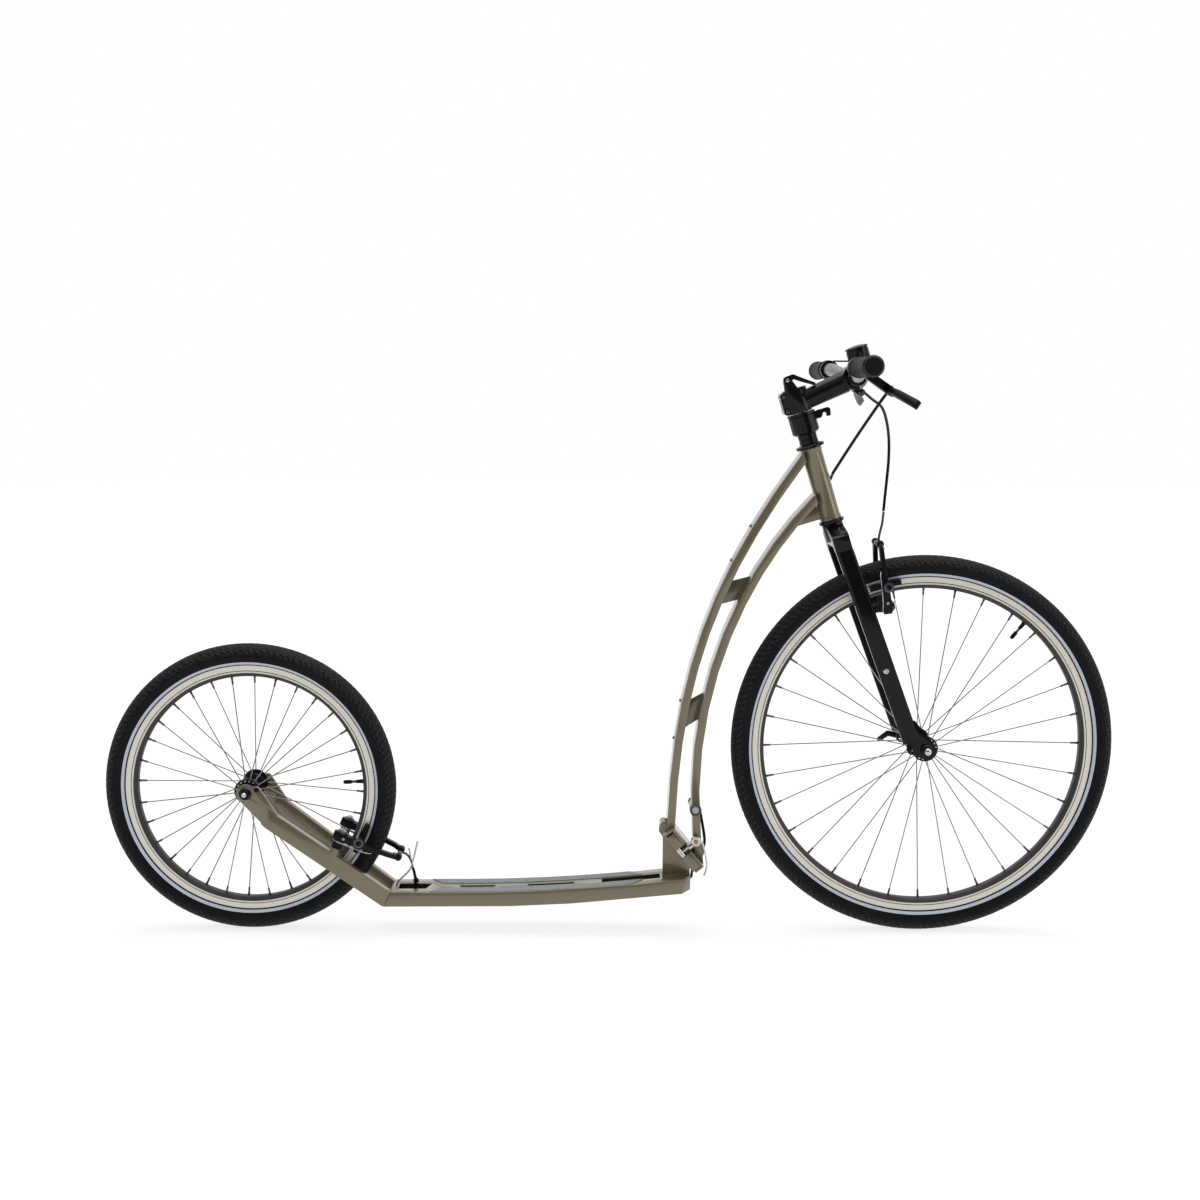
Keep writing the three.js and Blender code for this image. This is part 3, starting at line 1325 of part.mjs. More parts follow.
add(column, "handlebar", barSolid(), barMetal);

const leverMount = barHalf - gripBarLength - leverGap - leverMountWidth / 2;
const leverTipAcross = barHalf - leverTipInset;
const barrelMouth = leverMount - leverMountWidth / 2 - cableBarrelLength;
const droop = new THREE.Matrix4().makeRotationY(-radians(leverAngle)).setPosition(barEndAhead, 0, barEndAbove);
for (const [side, sign] of sides([0])) {
  // Rubber grip with a flange at each end and a closed outer face
  const inner = barHalf - gripBarLength;
  const bore = barRadius + seatGap;
  const profile = [
    [bore, inner], [gripFlangeRadius, inner], [gripFlangeRadius, inner + gripFlangeWidth],
    [gripRadius, inner + gripFlangeWidth * 1.5], [gripRadius, barHalf - gripFlangeWidth * 1.5],
    [gripFlangeRadius, barHalf - gripFlangeWidth], [gripFlangeRadius, barHalf - gripEndCap / 2],
    [gripFlangeRadius * 0.8, barHalf], [0, barHalf], [0, barHalf - gripEndCap], [bore, barHalf - gripEndCap], [bore, inner],
  ];
  const grip = turned(profile.map(([r, y]) => [r, sign * y]), 14).translate(barEndAhead, 0, barEndAbove);
  add(column, `grip_${side}`, grip, blackMatte);

  // Brake lever bracket: a ring round the bar, a body below it and a barrel for the cable
  const [from, to] = [sign * leverMount - leverMountWidth / 2, sign * leverMount + leverMountWidth / 2];
  const ringFrom = sign * leverMount - leverMountWidth / 3;
  const ringTo = sign * leverMount + leverMountWidth / 3;
  const forkSlot = leverBladeThickness + runningGap * 2;
  const body = cut(
    fuse(
      disc(leverRingRadius, ringFrom, ringTo, 14),
      hull([
        ...boss(leverRingRadius * 0.7, 0, leverBodyDepth / 2, ringFrom, ringTo, 8),
        ...boss(leverBodyReach * 0.62, 0, leverBodyDepth / 2, from, to, 8),
      ]),
      hull([
        ...boss(leverBodyReach * 0.62, 0, leverBodyDepth / 2, from, to, 8),
        ...boss(leverBodyReach - leverBodyDepth / 2, 0, leverBodyDepth / 2, from, to, 8),
      ]),
      rod(at(barrelReach, sign * leverMount, 0), at(barrelReach, sign * barrelMouth, 0), cableBarrelRadius, 8),
    ),
    disc(barRadius + seatGap, ringFrom - overrun, ringTo + overrun, 18),
    box(leverBodyReach, leverMountWidth, forkSlot, at(leverPivotReach + leverBodyReach / 2 - leverBladeWidth, sign * (leverMount + leverMountWidth * 0.36), 0)),
  );
  const pivotAcross = leverMount + leverMountWidth * 0.3;
  const pivotPin = disc(leverPinRadius, -leverBodyDepth / 2, leverBodyDepth / 2, 10, "z")
    .translate(leverPivotReach, sign * pivotAcross, 0);
  const pivotBore = disc(leverPinRadius + seatGap, -leverBodyDepth, leverBodyDepth, 12, "z")
    .translate(leverPivotReach, sign * pivotAcross, 0);
  const levers = new THREE.Group();
  levers.applyMatrix4(droop);
  column.add(levers);
  add(levers, `brake_bracket_${side}`, fuse(body, pivotPin), blackMatte);

  // Blade: a flat two-finger lever that leaves the bracket outwards, away from the bar
  const blade = moved(
    arm(
      [
        [leverPivotReach, pivotAcross, leverBladeWidth * 0.45],
        [leverPivotReach + leverBladeWidth, pivotAcross + leverBladeWidth * 3.6, leverBladeWidth * 0.42],
        [leverTipReach - leverBladeWidth * 1.4, leverTipAcross - leverBladeWidth * 1.8, leverBladeWidth * 0.42],
        [leverTipReach - leverBladeWidth / 2, leverTipAcross, leverBladeWidth / 2],
      ],
      -leverBladeThickness / 2,
      leverBladeThickness / 2,
      10,
    ),
    new THREE.Matrix4().makeRotationX(-Math.PI / 2),
  );
  const sidedBlade = moved(blade, new THREE.Matrix4().makeScale(1, sign, 1));
  add(levers, `brake_lever_${side}`, cut(sidedBlade, pivotBore), blackMatte);
}

// Bell beside the stem: a dome on a ring round the bar, with a thumb striker below it at the back
const bell = new THREE.Group();
bell.position.set(barAhead + bellAhead, -bellAcross, barAbove + bellAbove);
bell.rotation.y = lean;
column.add(bell);
const dome = turned(
  [
    [0, -bellHeight * 0.42], [bellRadius * 0.9, -bellHeight * 0.42], [bellRadius, -bellHeight * 0.2],
    [bellRadius * 0.97, bellHeight * 0.2], [bellRadius * 0.72, bellHeight * 0.5], [0, bellHeight * 0.58],
  ],
  16,
  "z",
);
const barAtBell = barPlace(bellAcross);
const toBell = new THREE.Matrix4().makeRotationY(-lean);
const barFromBell = at(barAtBell.x - barAhead - bellAhead, 0, barAtBell.z - barAbove - bellAbove).applyMatrix4(toBell);
const bellFloor = -bellHeight * 0.42;
const plateTop = bellFloor - strikerThickness - 2 * runningGap;
const plateBottom = plateTop - bellPlateThickness;
const ring = cut(
  fuse(
    disc(barRadius + bellRingWall, -bellRingWidth / 2, bellRingWidth / 2, 14).translate(barFromBell.x, 0, barFromBell.z),
    disc(bellPostRadius, barFromBell.z + barRadius, bellFloor + seatGap, 12, "z"),
    disc(bellRadius * 0.75, plateBottom, plateTop, 12, "z"),
    disc(strikerPin, plateTop - seatGap, bellFloor + seatGap, 10, "z").translate(-bellRadius * 0.6, 0, 0),
  ),
  disc(barRadius + bellRingGap, -bellRingWidth, bellRingWidth, 12).translate(barFromBell.x, 0, barFromBell.z),
);
add(bell, "bell", fuse(dome, ring), blackGloss);
const strikerPlan = (x, y, radius) =>
  boss(x, -y, radius, plateTop + runningGap, bellFloor - runningGap, 10).map((point) => at(point.x, -point.z, point.y));
const striker = cut(
  hull([...strikerPlan(-bellRadius * 0.6, 0, strikerPin * 2.2), ...strikerPlan(-strikerReach, -strikerPin * 2, strikerPin * 2)]),
  disc(strikerPin + seatGap, plateBottom, bellFloor, 12, "z").translate(-bellRadius * 0.6, 0, 0),
);
add(bell, "bell_striker", striker, steel);

// Quick-release lever over the top of the stem
const stemLeverSolid = cut(
  arm(
    [
      [stemLeverPivot.ahead, stemLeverPivot.above, 6.5],
      [2.8, 120.4, 4],
      [15.9, 110.8, 3.4],
      [stemLeverTip.ahead, stemLeverTip.above, 2.6],
    ],
    -stemLeverAcross - stemLeverWidth / 2,
    -stemLeverAcross + stemLeverWidth / 2,
    10,
  ),
  disc(stemPinRadius + seatGap, -stemLeverAcross - stemLeverWidth, 0, 12)
    .translate(stemLeverPivot.ahead, 0, stemLeverPivot.above),
);
add(column, "stem_lever", stemLeverSolid, blackGloss);

// Brake cables, whole along their routes. The points are chosen by hand, from the top of the head tube,
// the fold joint or the rear axle, and the ends follow what they meet.
const frontCableRoute = [
  [104, 123.6, 91], [104, 118, 91], [106.2, 108, 88.8], [114.4, 90, 79.5], [126.1, 60, 66.2],
  [130.4, 35, 43.2], [130.4, 10, 14.3], [127.7, -8, -19.2], [124.1, -16, -51.4], [120.8, -20, -83.2],
  [119.3, -20, -102.3],
];
const rearCableFromLever = [
  [104, -123.6, 91], [104, -118, 91], [101.2, -104, 84.8], [94.2, -84, 69.8], [81.2, -54, 41.8],
  [64.7, -25, 15.3], [50.2, -16, -15.2], [38.2, -8.6, -38.2],
];
const rearCableAlongFrame = [
  [275.6, -8.4, 779.4], [274.6, -7.6, 777.2], [274.6, 4.5, 772.2], [271.3, 15.5, 762], [261.9, 24, 747],
  [250.9, 28, 733], [231.9, 27.8, 715], [218.8, 27.8, 700.9], [170.8, 27.8, 634.7],
  [129.9, 27.8, 568.5], [99.4, 27.8, 496.4], [80, 27.8, 434], [64.5, 27.8, 362.7], [55.3, 27.9, 290],
  [57.4, 29.5, 255], [68.4, 31, 214],
];
const rearCableAtFold = [
  [68.5, 31, 213.4], [70.5, 28.5, 181.3], [76.1, 25, 148], [75.3, 19, 126], [72.4, 14, 108],
  [63.4, 9.5, 93], [54.4, 8, 87], [47.3, 8, 85.8],
];
const rearCableAtBrake = [
  [272.4, 12, 58], [273.9, 12, 78], [271.9, 12, 92], [269.6, 12, 99.9],
];
const routeFrom = (route, x, z) => route.map((point) => at(x + point[0], point[1], z + point[2]));
const barrelEnd = (sign) => {
  const mouth = at(barrelReach, sign * (barrelMouth - seatGap), 0);
  return mouth.applyMatrix4(droop).applyMatrix4(steerMatrix);
};
const noodleEnd = (noodle, matrix) => {
  const [outer, next] = noodle.map(([x, y, z]) => at(x, y, z));
  const outward = outer.clone().sub(next).setY(0).normalize();
  return outer.addScaledVector(outward, cableEndGap).applyMatrix4(matrix);
};
const lastOf = (points) => points[points.length - 1];
function fitted(points, start, end) {
  const startMove = start.clone().sub(points[0]);
  const endMove = end.clone().sub(lastOf(points));
  return points.map((point, i) => {
    const share = i / (points.length - 1);
    return point.clone().addScaledVector(startMove, 1 - share).addScaledVector(endMove, share);
  });
}
function cable(name, points) {
  add(bike, name, sweep(points, housingRadius, 6, 2 * (points.length - 1)), blackMatte);
}
const frontPoints = routeFrom(frontCableRoute, headTop.x, headTop.z);
cable("front_brake_cable", fitted(frontPoints, barrelEnd(1), noodleEnd(frontNoodle, frontBrakeMatrix)));
const leverPoints = routeFrom(rearCableFromLever, headTop.x, headTop.z);
cable("rear_cable_from_lever", fitted(leverPoints, barrelEnd(-1), lastOf(leverPoints)));
const foldPoints = routeFrom(rearCableAtFold, joint.x, 0);
const alongPoints = routeFrom(rearCableAlongFrame, joint.x, 0);
const alongStart = lastOf(leverPoints).clone().sub(at(...cableBreak));
const alongEnd = foldPoints[0].clone().add(at(...cableBreak));
cable("rear_cable_along_frame", fitted(alongPoints, alongStart, alongEnd));
cable("rear_cable_at_fold", foldPoints);
const brakePoints = routeFrom(rearCableAtBrake, rearAxle.x, 0);
cable("rear_cable_at_brake", fitted(brakePoints, brakePoints[0], noodleEnd(rearNoodle, rearBrakeMatrix)));

export default bike;
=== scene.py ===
import math

import bmesh
import bpy
from mathutils import Matrix, Vector
from mathutils.bvhtree import BVHTree


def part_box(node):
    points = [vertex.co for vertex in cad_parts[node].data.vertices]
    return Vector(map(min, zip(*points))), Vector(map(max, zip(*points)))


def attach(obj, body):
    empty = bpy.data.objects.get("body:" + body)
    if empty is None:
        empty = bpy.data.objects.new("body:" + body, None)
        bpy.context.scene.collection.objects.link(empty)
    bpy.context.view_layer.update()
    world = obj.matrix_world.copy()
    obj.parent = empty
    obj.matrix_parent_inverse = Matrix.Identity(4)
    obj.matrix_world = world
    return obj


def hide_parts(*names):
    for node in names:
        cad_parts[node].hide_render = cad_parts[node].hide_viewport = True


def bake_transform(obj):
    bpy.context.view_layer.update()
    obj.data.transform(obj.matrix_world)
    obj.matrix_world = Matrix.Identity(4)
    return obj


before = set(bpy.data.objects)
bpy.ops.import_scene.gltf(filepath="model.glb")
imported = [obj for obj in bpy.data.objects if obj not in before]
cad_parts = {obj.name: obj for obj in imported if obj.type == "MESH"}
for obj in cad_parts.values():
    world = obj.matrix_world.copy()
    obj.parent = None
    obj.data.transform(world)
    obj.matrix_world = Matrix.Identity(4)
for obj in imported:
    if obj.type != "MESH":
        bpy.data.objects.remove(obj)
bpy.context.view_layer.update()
MM = 0.001


def linked(name, data):
    """A new object in the scene that carries data."""
    obj = bpy.data.objects.new(name, data)
    bpy.context.scene.collection.objects.link(obj)
    return obj


# Camera at the photograph's place
camera_data = bpy.data.cameras.new("camera")
camera_data.lens = 49.54
camera_data.sensor_width = 36
camera = linked("camera", camera_data)
camera.location = (-0.03295, -2.7275, 0.9138)
camera.rotation_euler = [math.radians(turn) for turn in (82.69091, -0.27971, -0.32012)]
bpy.context.scene.camera = camera
bpy.context.scene.view_settings.view_transform = "Standard"

# Sizes and places in millimetres. The bike's own frame has its origin half-way between the axles, on the
# ground, and ROW_SHIFT away from the frame of the assembled part. Axles, joint and head: [ahead, above]
ROW_SHIFT = -38.25
LEAN = math.radians(17.12)
FRONT_RADIUS = 321.0
REAR_RADIUS = 244.5
HALF_WHEELBASE = 564.35
FRONT_AXLE = (HALF_WHEELBASE, FRONT_RADIUS)
REAR_AXLE = (-HALF_WHEELBASE, REAR_RADIUS)
FORK_OFFSET = 41.5
FORK_LENGTH = 533
HEAD_TOP = (
    FRONT_AXLE[0] - FORK_OFFSET * math.cos(LEAN) - FORK_LENGTH * math.sin(LEAN),
    FRONT_AXLE[1] - FORK_OFFSET * math.sin(LEAN) + FORK_LENGTH * math.cos(LEAN),
)
JOINT = (130.05, 170.8)
JOINT_TILT = math.radians(50.97)
GRIP_AHEAD = 85.6  # From the head tube's top, in the steering's own directions
GRIP_ABOVE = 108.8
BEAD_DEPTH = 35.5  # From the tread in to the rim's outer edge
RIM_DEPTH = 55.2  # From the tread in to the rim's inner face
TREAD_PITCH = 11.5
SPOKE_COUNT = 32
SIDES = (("left", 1), ("right", -1))


def place(x, y, z):
    return Vector(((x + ROW_SHIFT) * MM, y * MM, z * MM))


def on_steerer(ahead, across, above):
    x = HEAD_TOP[0] + ahead * math.cos(LEAN) - above * math.sin(LEAN)
    z = HEAD_TOP[1] + ahead * math.sin(LEAN) + above * math.cos(LEAN)
    return place(x, across, z)


def on_joint(run, across, rise):
    x = JOINT[0] + run * math.cos(JOINT_TILT) + rise * math.sin(JOINT_TILT)
    z = JOINT[1] - run * math.sin(JOINT_TILT) + rise * math.cos(JOINT_TILT)
    return place(x, across, z)


STEER_UP = Vector((-math.sin(LEAN), 0, math.cos(LEAN)))
ACROSS = Vector((0, 1, 0))
GRIP_LINE = on_steerer(GRIP_AHEAD, 0, GRIP_ABOVE)
FRONT_CENTRE = place(FRONT_AXLE[0], 0, FRONT_AXLE[1])
REAR_CENTRE = place(REAR_AXLE[0], 0, REAR_AXLE[1])
JOINT_RUN = Vector((math.cos(JOINT_TILT), 0, -math.sin(JOINT_TILT)))


# Shader maths as Python expressions
class Value:
    def __init__(self, tree, socket):
        self.tree = tree
        self.socket = socket

    def maths(self, operation, *others):
        node = self.tree.nodes.new("ShaderNodeMath")
        node.operation = operation
        for slot, item in enumerate((self, *others)):
            feed(self.tree, node.inputs[slot], item)
        return Value(self.tree, node.outputs[0])

    def __add__(self, other):
        return self.maths("ADD", other)

    def __sub__(self, other):
        return self.maths("SUBTRACT", other)

    def __rsub__(self, other):
        return (self * -1).maths("ADD", other)

    def __mul__(self, other):
        return self.maths("MULTIPLY", other)

    def __truediv__(self, other):
        return self.maths("DIVIDE", other)

    def size(self):
        return self.maths("ABSOLUTE")

    def wave(self):
        """0.5 at each whole number, and 0 half-way between them."""
        return (self.maths("FRACT") - 0.5).size()

    def above(self, level, soft):
        """0 below the level and 1 above it, with a soft step between. A negative step turns it round."""
        return ((self - level) / soft).maths("ADD", 0.5).limited()

    def limited(self):
        return self.maths("MAXIMUM", 0.0).maths("MINIMUM", 1.0)


def feed(tree, socket, item):
    if isinstance(item, Value):
        tree.links.new(item.socket, socket)
    elif isinstance(item, bpy.types.NodeSocket):
        tree.links.new(item, socket)
    else:
        socket.default_value = item


class Finish:
    """A material with one Principled shader, fed by the nodes that are asked for. Its slot argument is not
    used.
    """

    def __init__(self, name, slot, colour, roughness, metallic=0.0, gloss=0.5, coat_roughness=0.03):
        self.material = bpy.data.materials.new(name)
        self.material.use_nodes = True
        self.tree = self.material.node_tree
        self.shader = self.tree.nodes["Principled BSDF"]
        self.shader.inputs["Base Color"].default_value = (*colour, 1)
        self.shader.inputs["Roughness"].default_value = roughness
        self.shader.inputs["Metallic"].default_value = metallic
        self.shader.inputs["Specular IOR Level"].default_value = gloss
        self.shader.inputs["Coat Roughness"].default_value = coat_roughness

    def node(self, kind, settings=None, **sockets):
        made = self.tree.nodes.new("ShaderNode" + kind)
        for key, value in (settings or {}).items():
            setattr(made, key, value)
        for key, value in sockets.items():
            feed(self.tree, made.inputs[key.replace("_", " ")], value)
        return made

    def coordinates(self, centre=(0, 0, 0)):
        shifted = self.node("VectorMath", {"operation": "SUBTRACT"})
        feed(self.tree, shifted.inputs[0], self.node("TexCoord").outputs["Object"])
        shifted.inputs[1].default_value = centre
        return shifted.outputs[0]

    def split(self, vector):
        made = self.node("SeparateXYZ", Vector=vector)
        return [Value(self.tree, made.outputs[axis]) for axis in range(3)]

    def around(self, centre):
        """The place about a wheel's centre, its reach from the axle, its turn and its place across."""
        spot = self.coordinates(centre)
        x, y, z = self.split(spot)
        return spot, (x * x + z * z).maths("SQRT"), z.maths("ARCTAN2", x), y

    def noise(self, vector, scale, detail=2.0, roughness=0.5):
        made = self.node("TexNoise", Vector=vector, Scale=scale, Detail=detail, Roughness=roughness)
        return Value(self.tree, made.outputs["Fac"])

    def cells(self, vector, scale):
        made = self.node("TexVoronoi", Vector=vector, Scale=scale)
        return Value(self.tree, made.outputs["Distance"])

    def blend(self, factor, first, second):
        made = self.node("Mix", {"data_type": "RGBA"})
        feed(self.tree, made.inputs["Factor"], factor)
        colour_inputs = [socket for socket in made.inputs if socket.type == "RGBA"]
        for socket, item in zip(colour_inputs, (first, second)):
            if isinstance(item, tuple):
                socket.default_value = (*item, 1)
            else:
                feed(self.tree, socket, item)
        return [socket for socket in made.outputs if socket.type == "RGBA"][0]

    def paint(self, socket, item):
        feed(self.tree, self.shader.inputs[socket], item)

    def relief(self, height, distance, strength):
        bump = self.node("Bump", Height=height, Distance=distance, Strength=strength)
        previous = self.shader.inputs["Normal"].links
        if previous:
            feed(self.tree, bump.inputs["Normal"], previous[0].from_socket)
        feed(self.tree, self.shader.inputs["Normal"], bump.outputs["Normal"])


# Finishes
def metallic_paint(name, slot, colour, roughness, metallic, coat, gloss):
    made = Finish(name, slot, colour, roughness, metallic, gloss, 0.12)
    spot = made.coordinates()
    flake = made.cells(spot, 2600)
    cloud = made.noise(spot, 9, 3)
    light = tuple(min(1, part * 1.16 + 0.004) for part in colour)
    dark = tuple(part * 0.86 for part in colour)
    sparkle = (flake * 0.2 + cloud * 0.7).limited()
    made.paint("Base Color", made.blend(sparkle, dark, light))
    made.paint("Roughness", cloud * 0.12 + (roughness - 0.06))
    made.paint("Coat Weight", made.noise(spot, 30) * 0.06 + coat)
    made.relief(made.noise(spot, 420, 2), 0.00006, 0.5)
    return made.material


frame_paint = metallic_paint("taupe_paint", "frame_paint", (0.142, 0.119, 0.070), 0.36, 0.4, 0.85, 0.4)
black_paint = metallic_paint("black_paint", "black_gloss", (0.002, 0.0023, 0.0032), 0.16, 0.0, 0.08, 0.12)


def satin(name, slot, colour, roughness, metallic=0.0, gloss=0.5, grain=900, depth=0.00005, wear=0.3):
    made = Finish(name, slot, colour, roughness, metallic, gloss)
    spot = made.coordinates()
    cloud = made.noise(spot, 22, 4)
    fine = made.noise(spot, grain, 2)
    dark = tuple(part * (1 - wear) for part in colour)
    light = tuple(min(1, part * (1 + wear)) for part in colour)
    made.paint("Base Color", made.blend(cloud, dark, light))
    made.paint("Roughness", cloud * 0.16 + fine * 0.06 + (roughness - 0.1))
    made.relief(fine, depth, 0.6)
    return made.material


anodised = satin("black_anodised", "black_matte", (0.0045, 0.0048, 0.0058), 0.32, gloss=0.12)
plastic = satin("black_plastic", "black_matte", (0.0055, 0.0057, 0.0062), 0.4, gloss=0.1)
soft_rubber = satin("soft_rubber", "grip_rubber", (0.006, 0.006, 0.0065), 0.6, depth=0.00012, gloss=0.08)
cable_skin = satin("cable_skin", "black_matte", (0.0045, 0.0045, 0.005), 0.3, grain=1500, gloss=0.12)
# A near-black sheet colour: painted shade laid under the deck's thin slots
painted_slot_shade = satin("slot_shadow", "frame_paint", (0.016, 0.011, 0.006), 0.9)
steel = satin("bright_steel", "steel", (0.5, 0.51, 0.52), 0.26, 1.0, wear=0.14)
spoke_steel = satin("spoke_steel", "steel", (0.25, 0.245, 0.235), 0.32, 1.0, wear=0.1)
dark_steel = satin("dark_steel", "steel", (0.09, 0.09, 0.095), 0.34, 1.0, wear=0.2)
brass = satin("aged_brass", "steel", (0.3, 0.19, 0.07), 0.34, 1.0, wear=0.35)
bar_metal = satin("bar_alloy", "bar_metal", (0.2, 0.205, 0.22), 0.3, 0.9, wear=0.12)
# A grey a little lighter than the black caps: a painted sheen that stands in for the grip end rings' highlight
ring_painted_sheen = satin("ring_painted_sheen", "black_matte", (0.014, 0.0145, 0.016), 0.28)
plug_grey = satin("plug_grey", "steel", (0.3, 0.34, 0.38), 0.4, wear=0.12)
# Darker frame paint for the ring round each cross boss: painted shade round the boss
shaded_paint = satin("shaded_paint", "frame_paint", (0.05, 0.043, 0.028), 0.5)


def tyre_finish(name, centre, radius):
    made = Finish(name, "tyre", (0.008, 0.008, 0.008), 0.55, gloss=0.07)
    spot, reach, turn, y = made.around(centre)
    waves = round(2 * math.pi * radius / TREAD_PITCH)
    zigzag = (turn * waves).maths("SINE")
    slow = (turn * (waves / 3)).maths("SINE")
    lane = (y.size() + zigzag * 0.0011 + slow * 0.0006) / 0.0043
    groove = lane.wave().above(0.3, 0.16)
    chevron = turn * (waves / (2 * math.pi)) + y.size() * 70
    bars = chevron.wave().above(0.36, 0.12)
    tread = reach.above((radius - 15.5) * MM, 0.002)
    ridge = (groove * 0.7 + bars * 0.5).limited()
    cloud = made.noise(spot, 34, 4)
    fine = made.noise(spot, 1300, 2)
    # Pale stripe that runs round the wall just outside the rim
    stripe_at = (radius - 31.8) * MM
    stripe = (reach - stripe_at).size().above(0.00215, -0.0003)
    ribs = (turn * (radius * 0.55) + reach * 900).wave()
    rubber = made.blend(cloud, (0.0048, 0.0046, 0.005), (0.0095, 0.0093, 0.0095))
    # Lighter colour on the tread's raised ridges: a painted highlight on their tops, over the rubber's random
    # tone
    tone_and_raised_sheen = made.blend((ridge * tread).limited(), rubber, (0.021, 0.0225, 0.026))
    pale = made.blend(ribs * 1.6, (0.36, 0.4, 0.48), (0.56, 0.6, 0.68))
    made.paint("Base Color", made.blend(stripe, tone_and_raised_sheen, pale))
    made.paint("Roughness", cloud * 0.16 + 0.42 + stripe * -0.12)
    made.relief(fine, 0.00008, 0.5)
    made.relief(ridge * tread, 0.0012, 0.9)
    wall = (1 - tread) * reach.above((radius - 29) * MM, 0.001)
    made.relief((reach * 900).wave() * wall, 0.00025, 0.35)
    return made.material


def rim_finish(name, centre, radius):
    made = Finish(name, "rim_metal", (0.5, 0.47, 0.41), 0.3, 0.5, 0.35)
    spot, reach, turn, y = made.around(centre)
    bead = radius - BEAD_DEPTH
    band = reach.above((bead - 12.9) * MM, 0.0003)
    groove = (reach - (bead - 9.6) * MM).size().above(0.00055, -0.0002)
    lines = made.noise(made.node("CombineXYZ", X=reach * 2600, Y=0.0, Z=0.0).outputs[0], 1, 3)
    ribs = (turn * (radius * 0.42) + reach * 700).wave()
    cloud = made.noise(spot, 16, 3)
    bright = made.blend(lines, (0.4, 0.372, 0.312), (0.84, 0.815, 0.75))
    track = made.blend(groove, bright, (0.03, 0.027, 0.024))
    dark = made.blend(cloud, (0.02, 0.02, 0.021), (0.036, 0.036, 0.036))
    made.paint("Base Color", made.blend(band, dark, track))
    made.paint("Roughness", lines * 0.14 + ribs * 0.05 + 0.22 + (1 - band) * 0.16)
    made.paint("Metallic", band * 0.3 + 0.1)
    made.relief(lines * band, 0.00012, 0.5)
    made.relief(ribs * band, 0.00008, 0.35)
    return made.material


def tape_finish():
    made = Finish("grip_band_tape", "grip_tape", (0.16, 0.167, 0.17), 0.92)
    spot = made.coordinates()
    grit = made.cells(spot, 1500)
    speck = made.noise(spot, 700, 3, 0.7).above(0.52, 0.1)
    shade = made.blend(grit * 1.4, (0.06, 0.064, 0.067), (0.25, 0.262, 0.266))
    made.paint("Base Color", made.blend(speck * 0.5, shade, (0.42, 0.43, 0.43)))
    made.paint("Roughness", grit * 0.1 + 0.84)
    made.relief(grit, 0.0006, 0.9)
    return made.material


def grip_finish():
    made = Finish("grip_sleeve_rubber", "grip_rubber", (0.007, 0.007, 0.0075), 0.55, gloss=0.12)
    spot = made.coordinates(GRIP_LINE)
    x, y, z = made.split(spot)
    turn = z.maths("ARCTAN2", x)
    rows = (y * (1 / 0.0052)).wave()
    stagger = (y * (1 / 0.0104)).maths("FLOOR") * 0.5
    ribs = (turn * (26 / (2 * math.pi)) + stagger).wave()
    studs = (rows * -1 + 0.5).above(0.14, 0.1) * ribs.above(0.16, 0.12)
    cloud = made.noise(spot, 40, 3)
    # Lighter colour on the raised studs: a painted highlight on their tops, mixed half and half with random
    # tone
    tone_and_raised_sheen = (studs * 0.5 + cloud * 0.5).limited()
    made.paint("Base Color", made.blend(tone_and_raised_sheen, (0.0045, 0.0045, 0.005), (0.013, 0.013, 0.0145)))
    made.paint("Roughness", cloud * 0.15 + 0.52)
    made.relief(studs, 0.0008, 0.8)
    made.relief(made.noise(spot, 1400, 2), 0.00008, 0.5)
    return made.material


front_rubber = tyre_finish("front_tyre_rubber", FRONT_CENTRE, FRONT_RADIUS)
rear_rubber = tyre_finish("rear_tyre_rubber", REAR_CENTRE, REAR_RADIUS)
front_rim_metal = rim_finish("front_rim_alloy", FRONT_CENTRE, FRONT_RADIUS)
rear_rim_metal = rim_finish("rear_rim_alloy", REAR_CENTRE, REAR_RADIUS)
grip_tape = tape_finish()
grip_skin = grip_finish()


# Modelling
def alone(obj):
    bpy.ops.object.select_all(action="DESELECT")
    obj.select_set(True)
    bpy.context.view_layer.objects.active = obj


def named(name, material):
    obj = bpy.context.object
    obj.name = name
    obj.data.name = name
    obj.data.materials.clear()
    obj.data.materials.append(material)
    return obj


def edited(*steps):
    """Edit-mode operators, each on the whole mesh."""
    bpy.ops.object.mode_set(mode="EDIT")
    for operator, settings in steps:
        bpy.ops.mesh.select_all(action="SELECT")
        operator(**settings)
    bpy.ops.object.mode_set(mode="OBJECT")


def modified(obj, kind, **settings):
    alone(obj)
    modifier = obj.modifiers.new(kind.lower(), kind)
    for key, value in settings.items():
        setattr(modifier, key, value)
    bpy.ops.object.modifier_apply(modifier=modifier.name)


def bevelled(obj, width, degrees=30, **settings):
    settings.update(width=width * MM, segments=2, limit_method="ANGLE", angle_limit=math.radians(degrees))
    modified(obj, "BEVEL", **settings)


MELD = (bpy.ops.mesh.remove_doubles, {"threshold": 0.00001})
OUTWARD = (bpy.ops.mesh.normals_make_consistent, {"inside": False})


def settle(obj, angle):
    """The place goes into the mesh, and shading is smooth but for the edges."""
    alone(obj)
    bpy.ops.object.transform_apply(location=True, rotation=True, scale=True)
    bpy.ops.object.shade_smooth_by_angle(angle=math.radians(angle))
    return obj


def kept(obj, body, *nodes):
    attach(obj, body)
    if nodes:
        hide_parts(*nodes)
    return obj


def frame_along(axis):
    """A matrix whose Y axis lies along axis."""
    y = Vector(axis).normalized()
    x = Vector((1, 0, 0)) if abs(y.x) < 0.9 else Vector((0, 0, 1))
    x = (x - y * x.dot(y)).normalized()
    z = x.cross(y)
    return Matrix((x, y, z)).transposed().to_4x4()


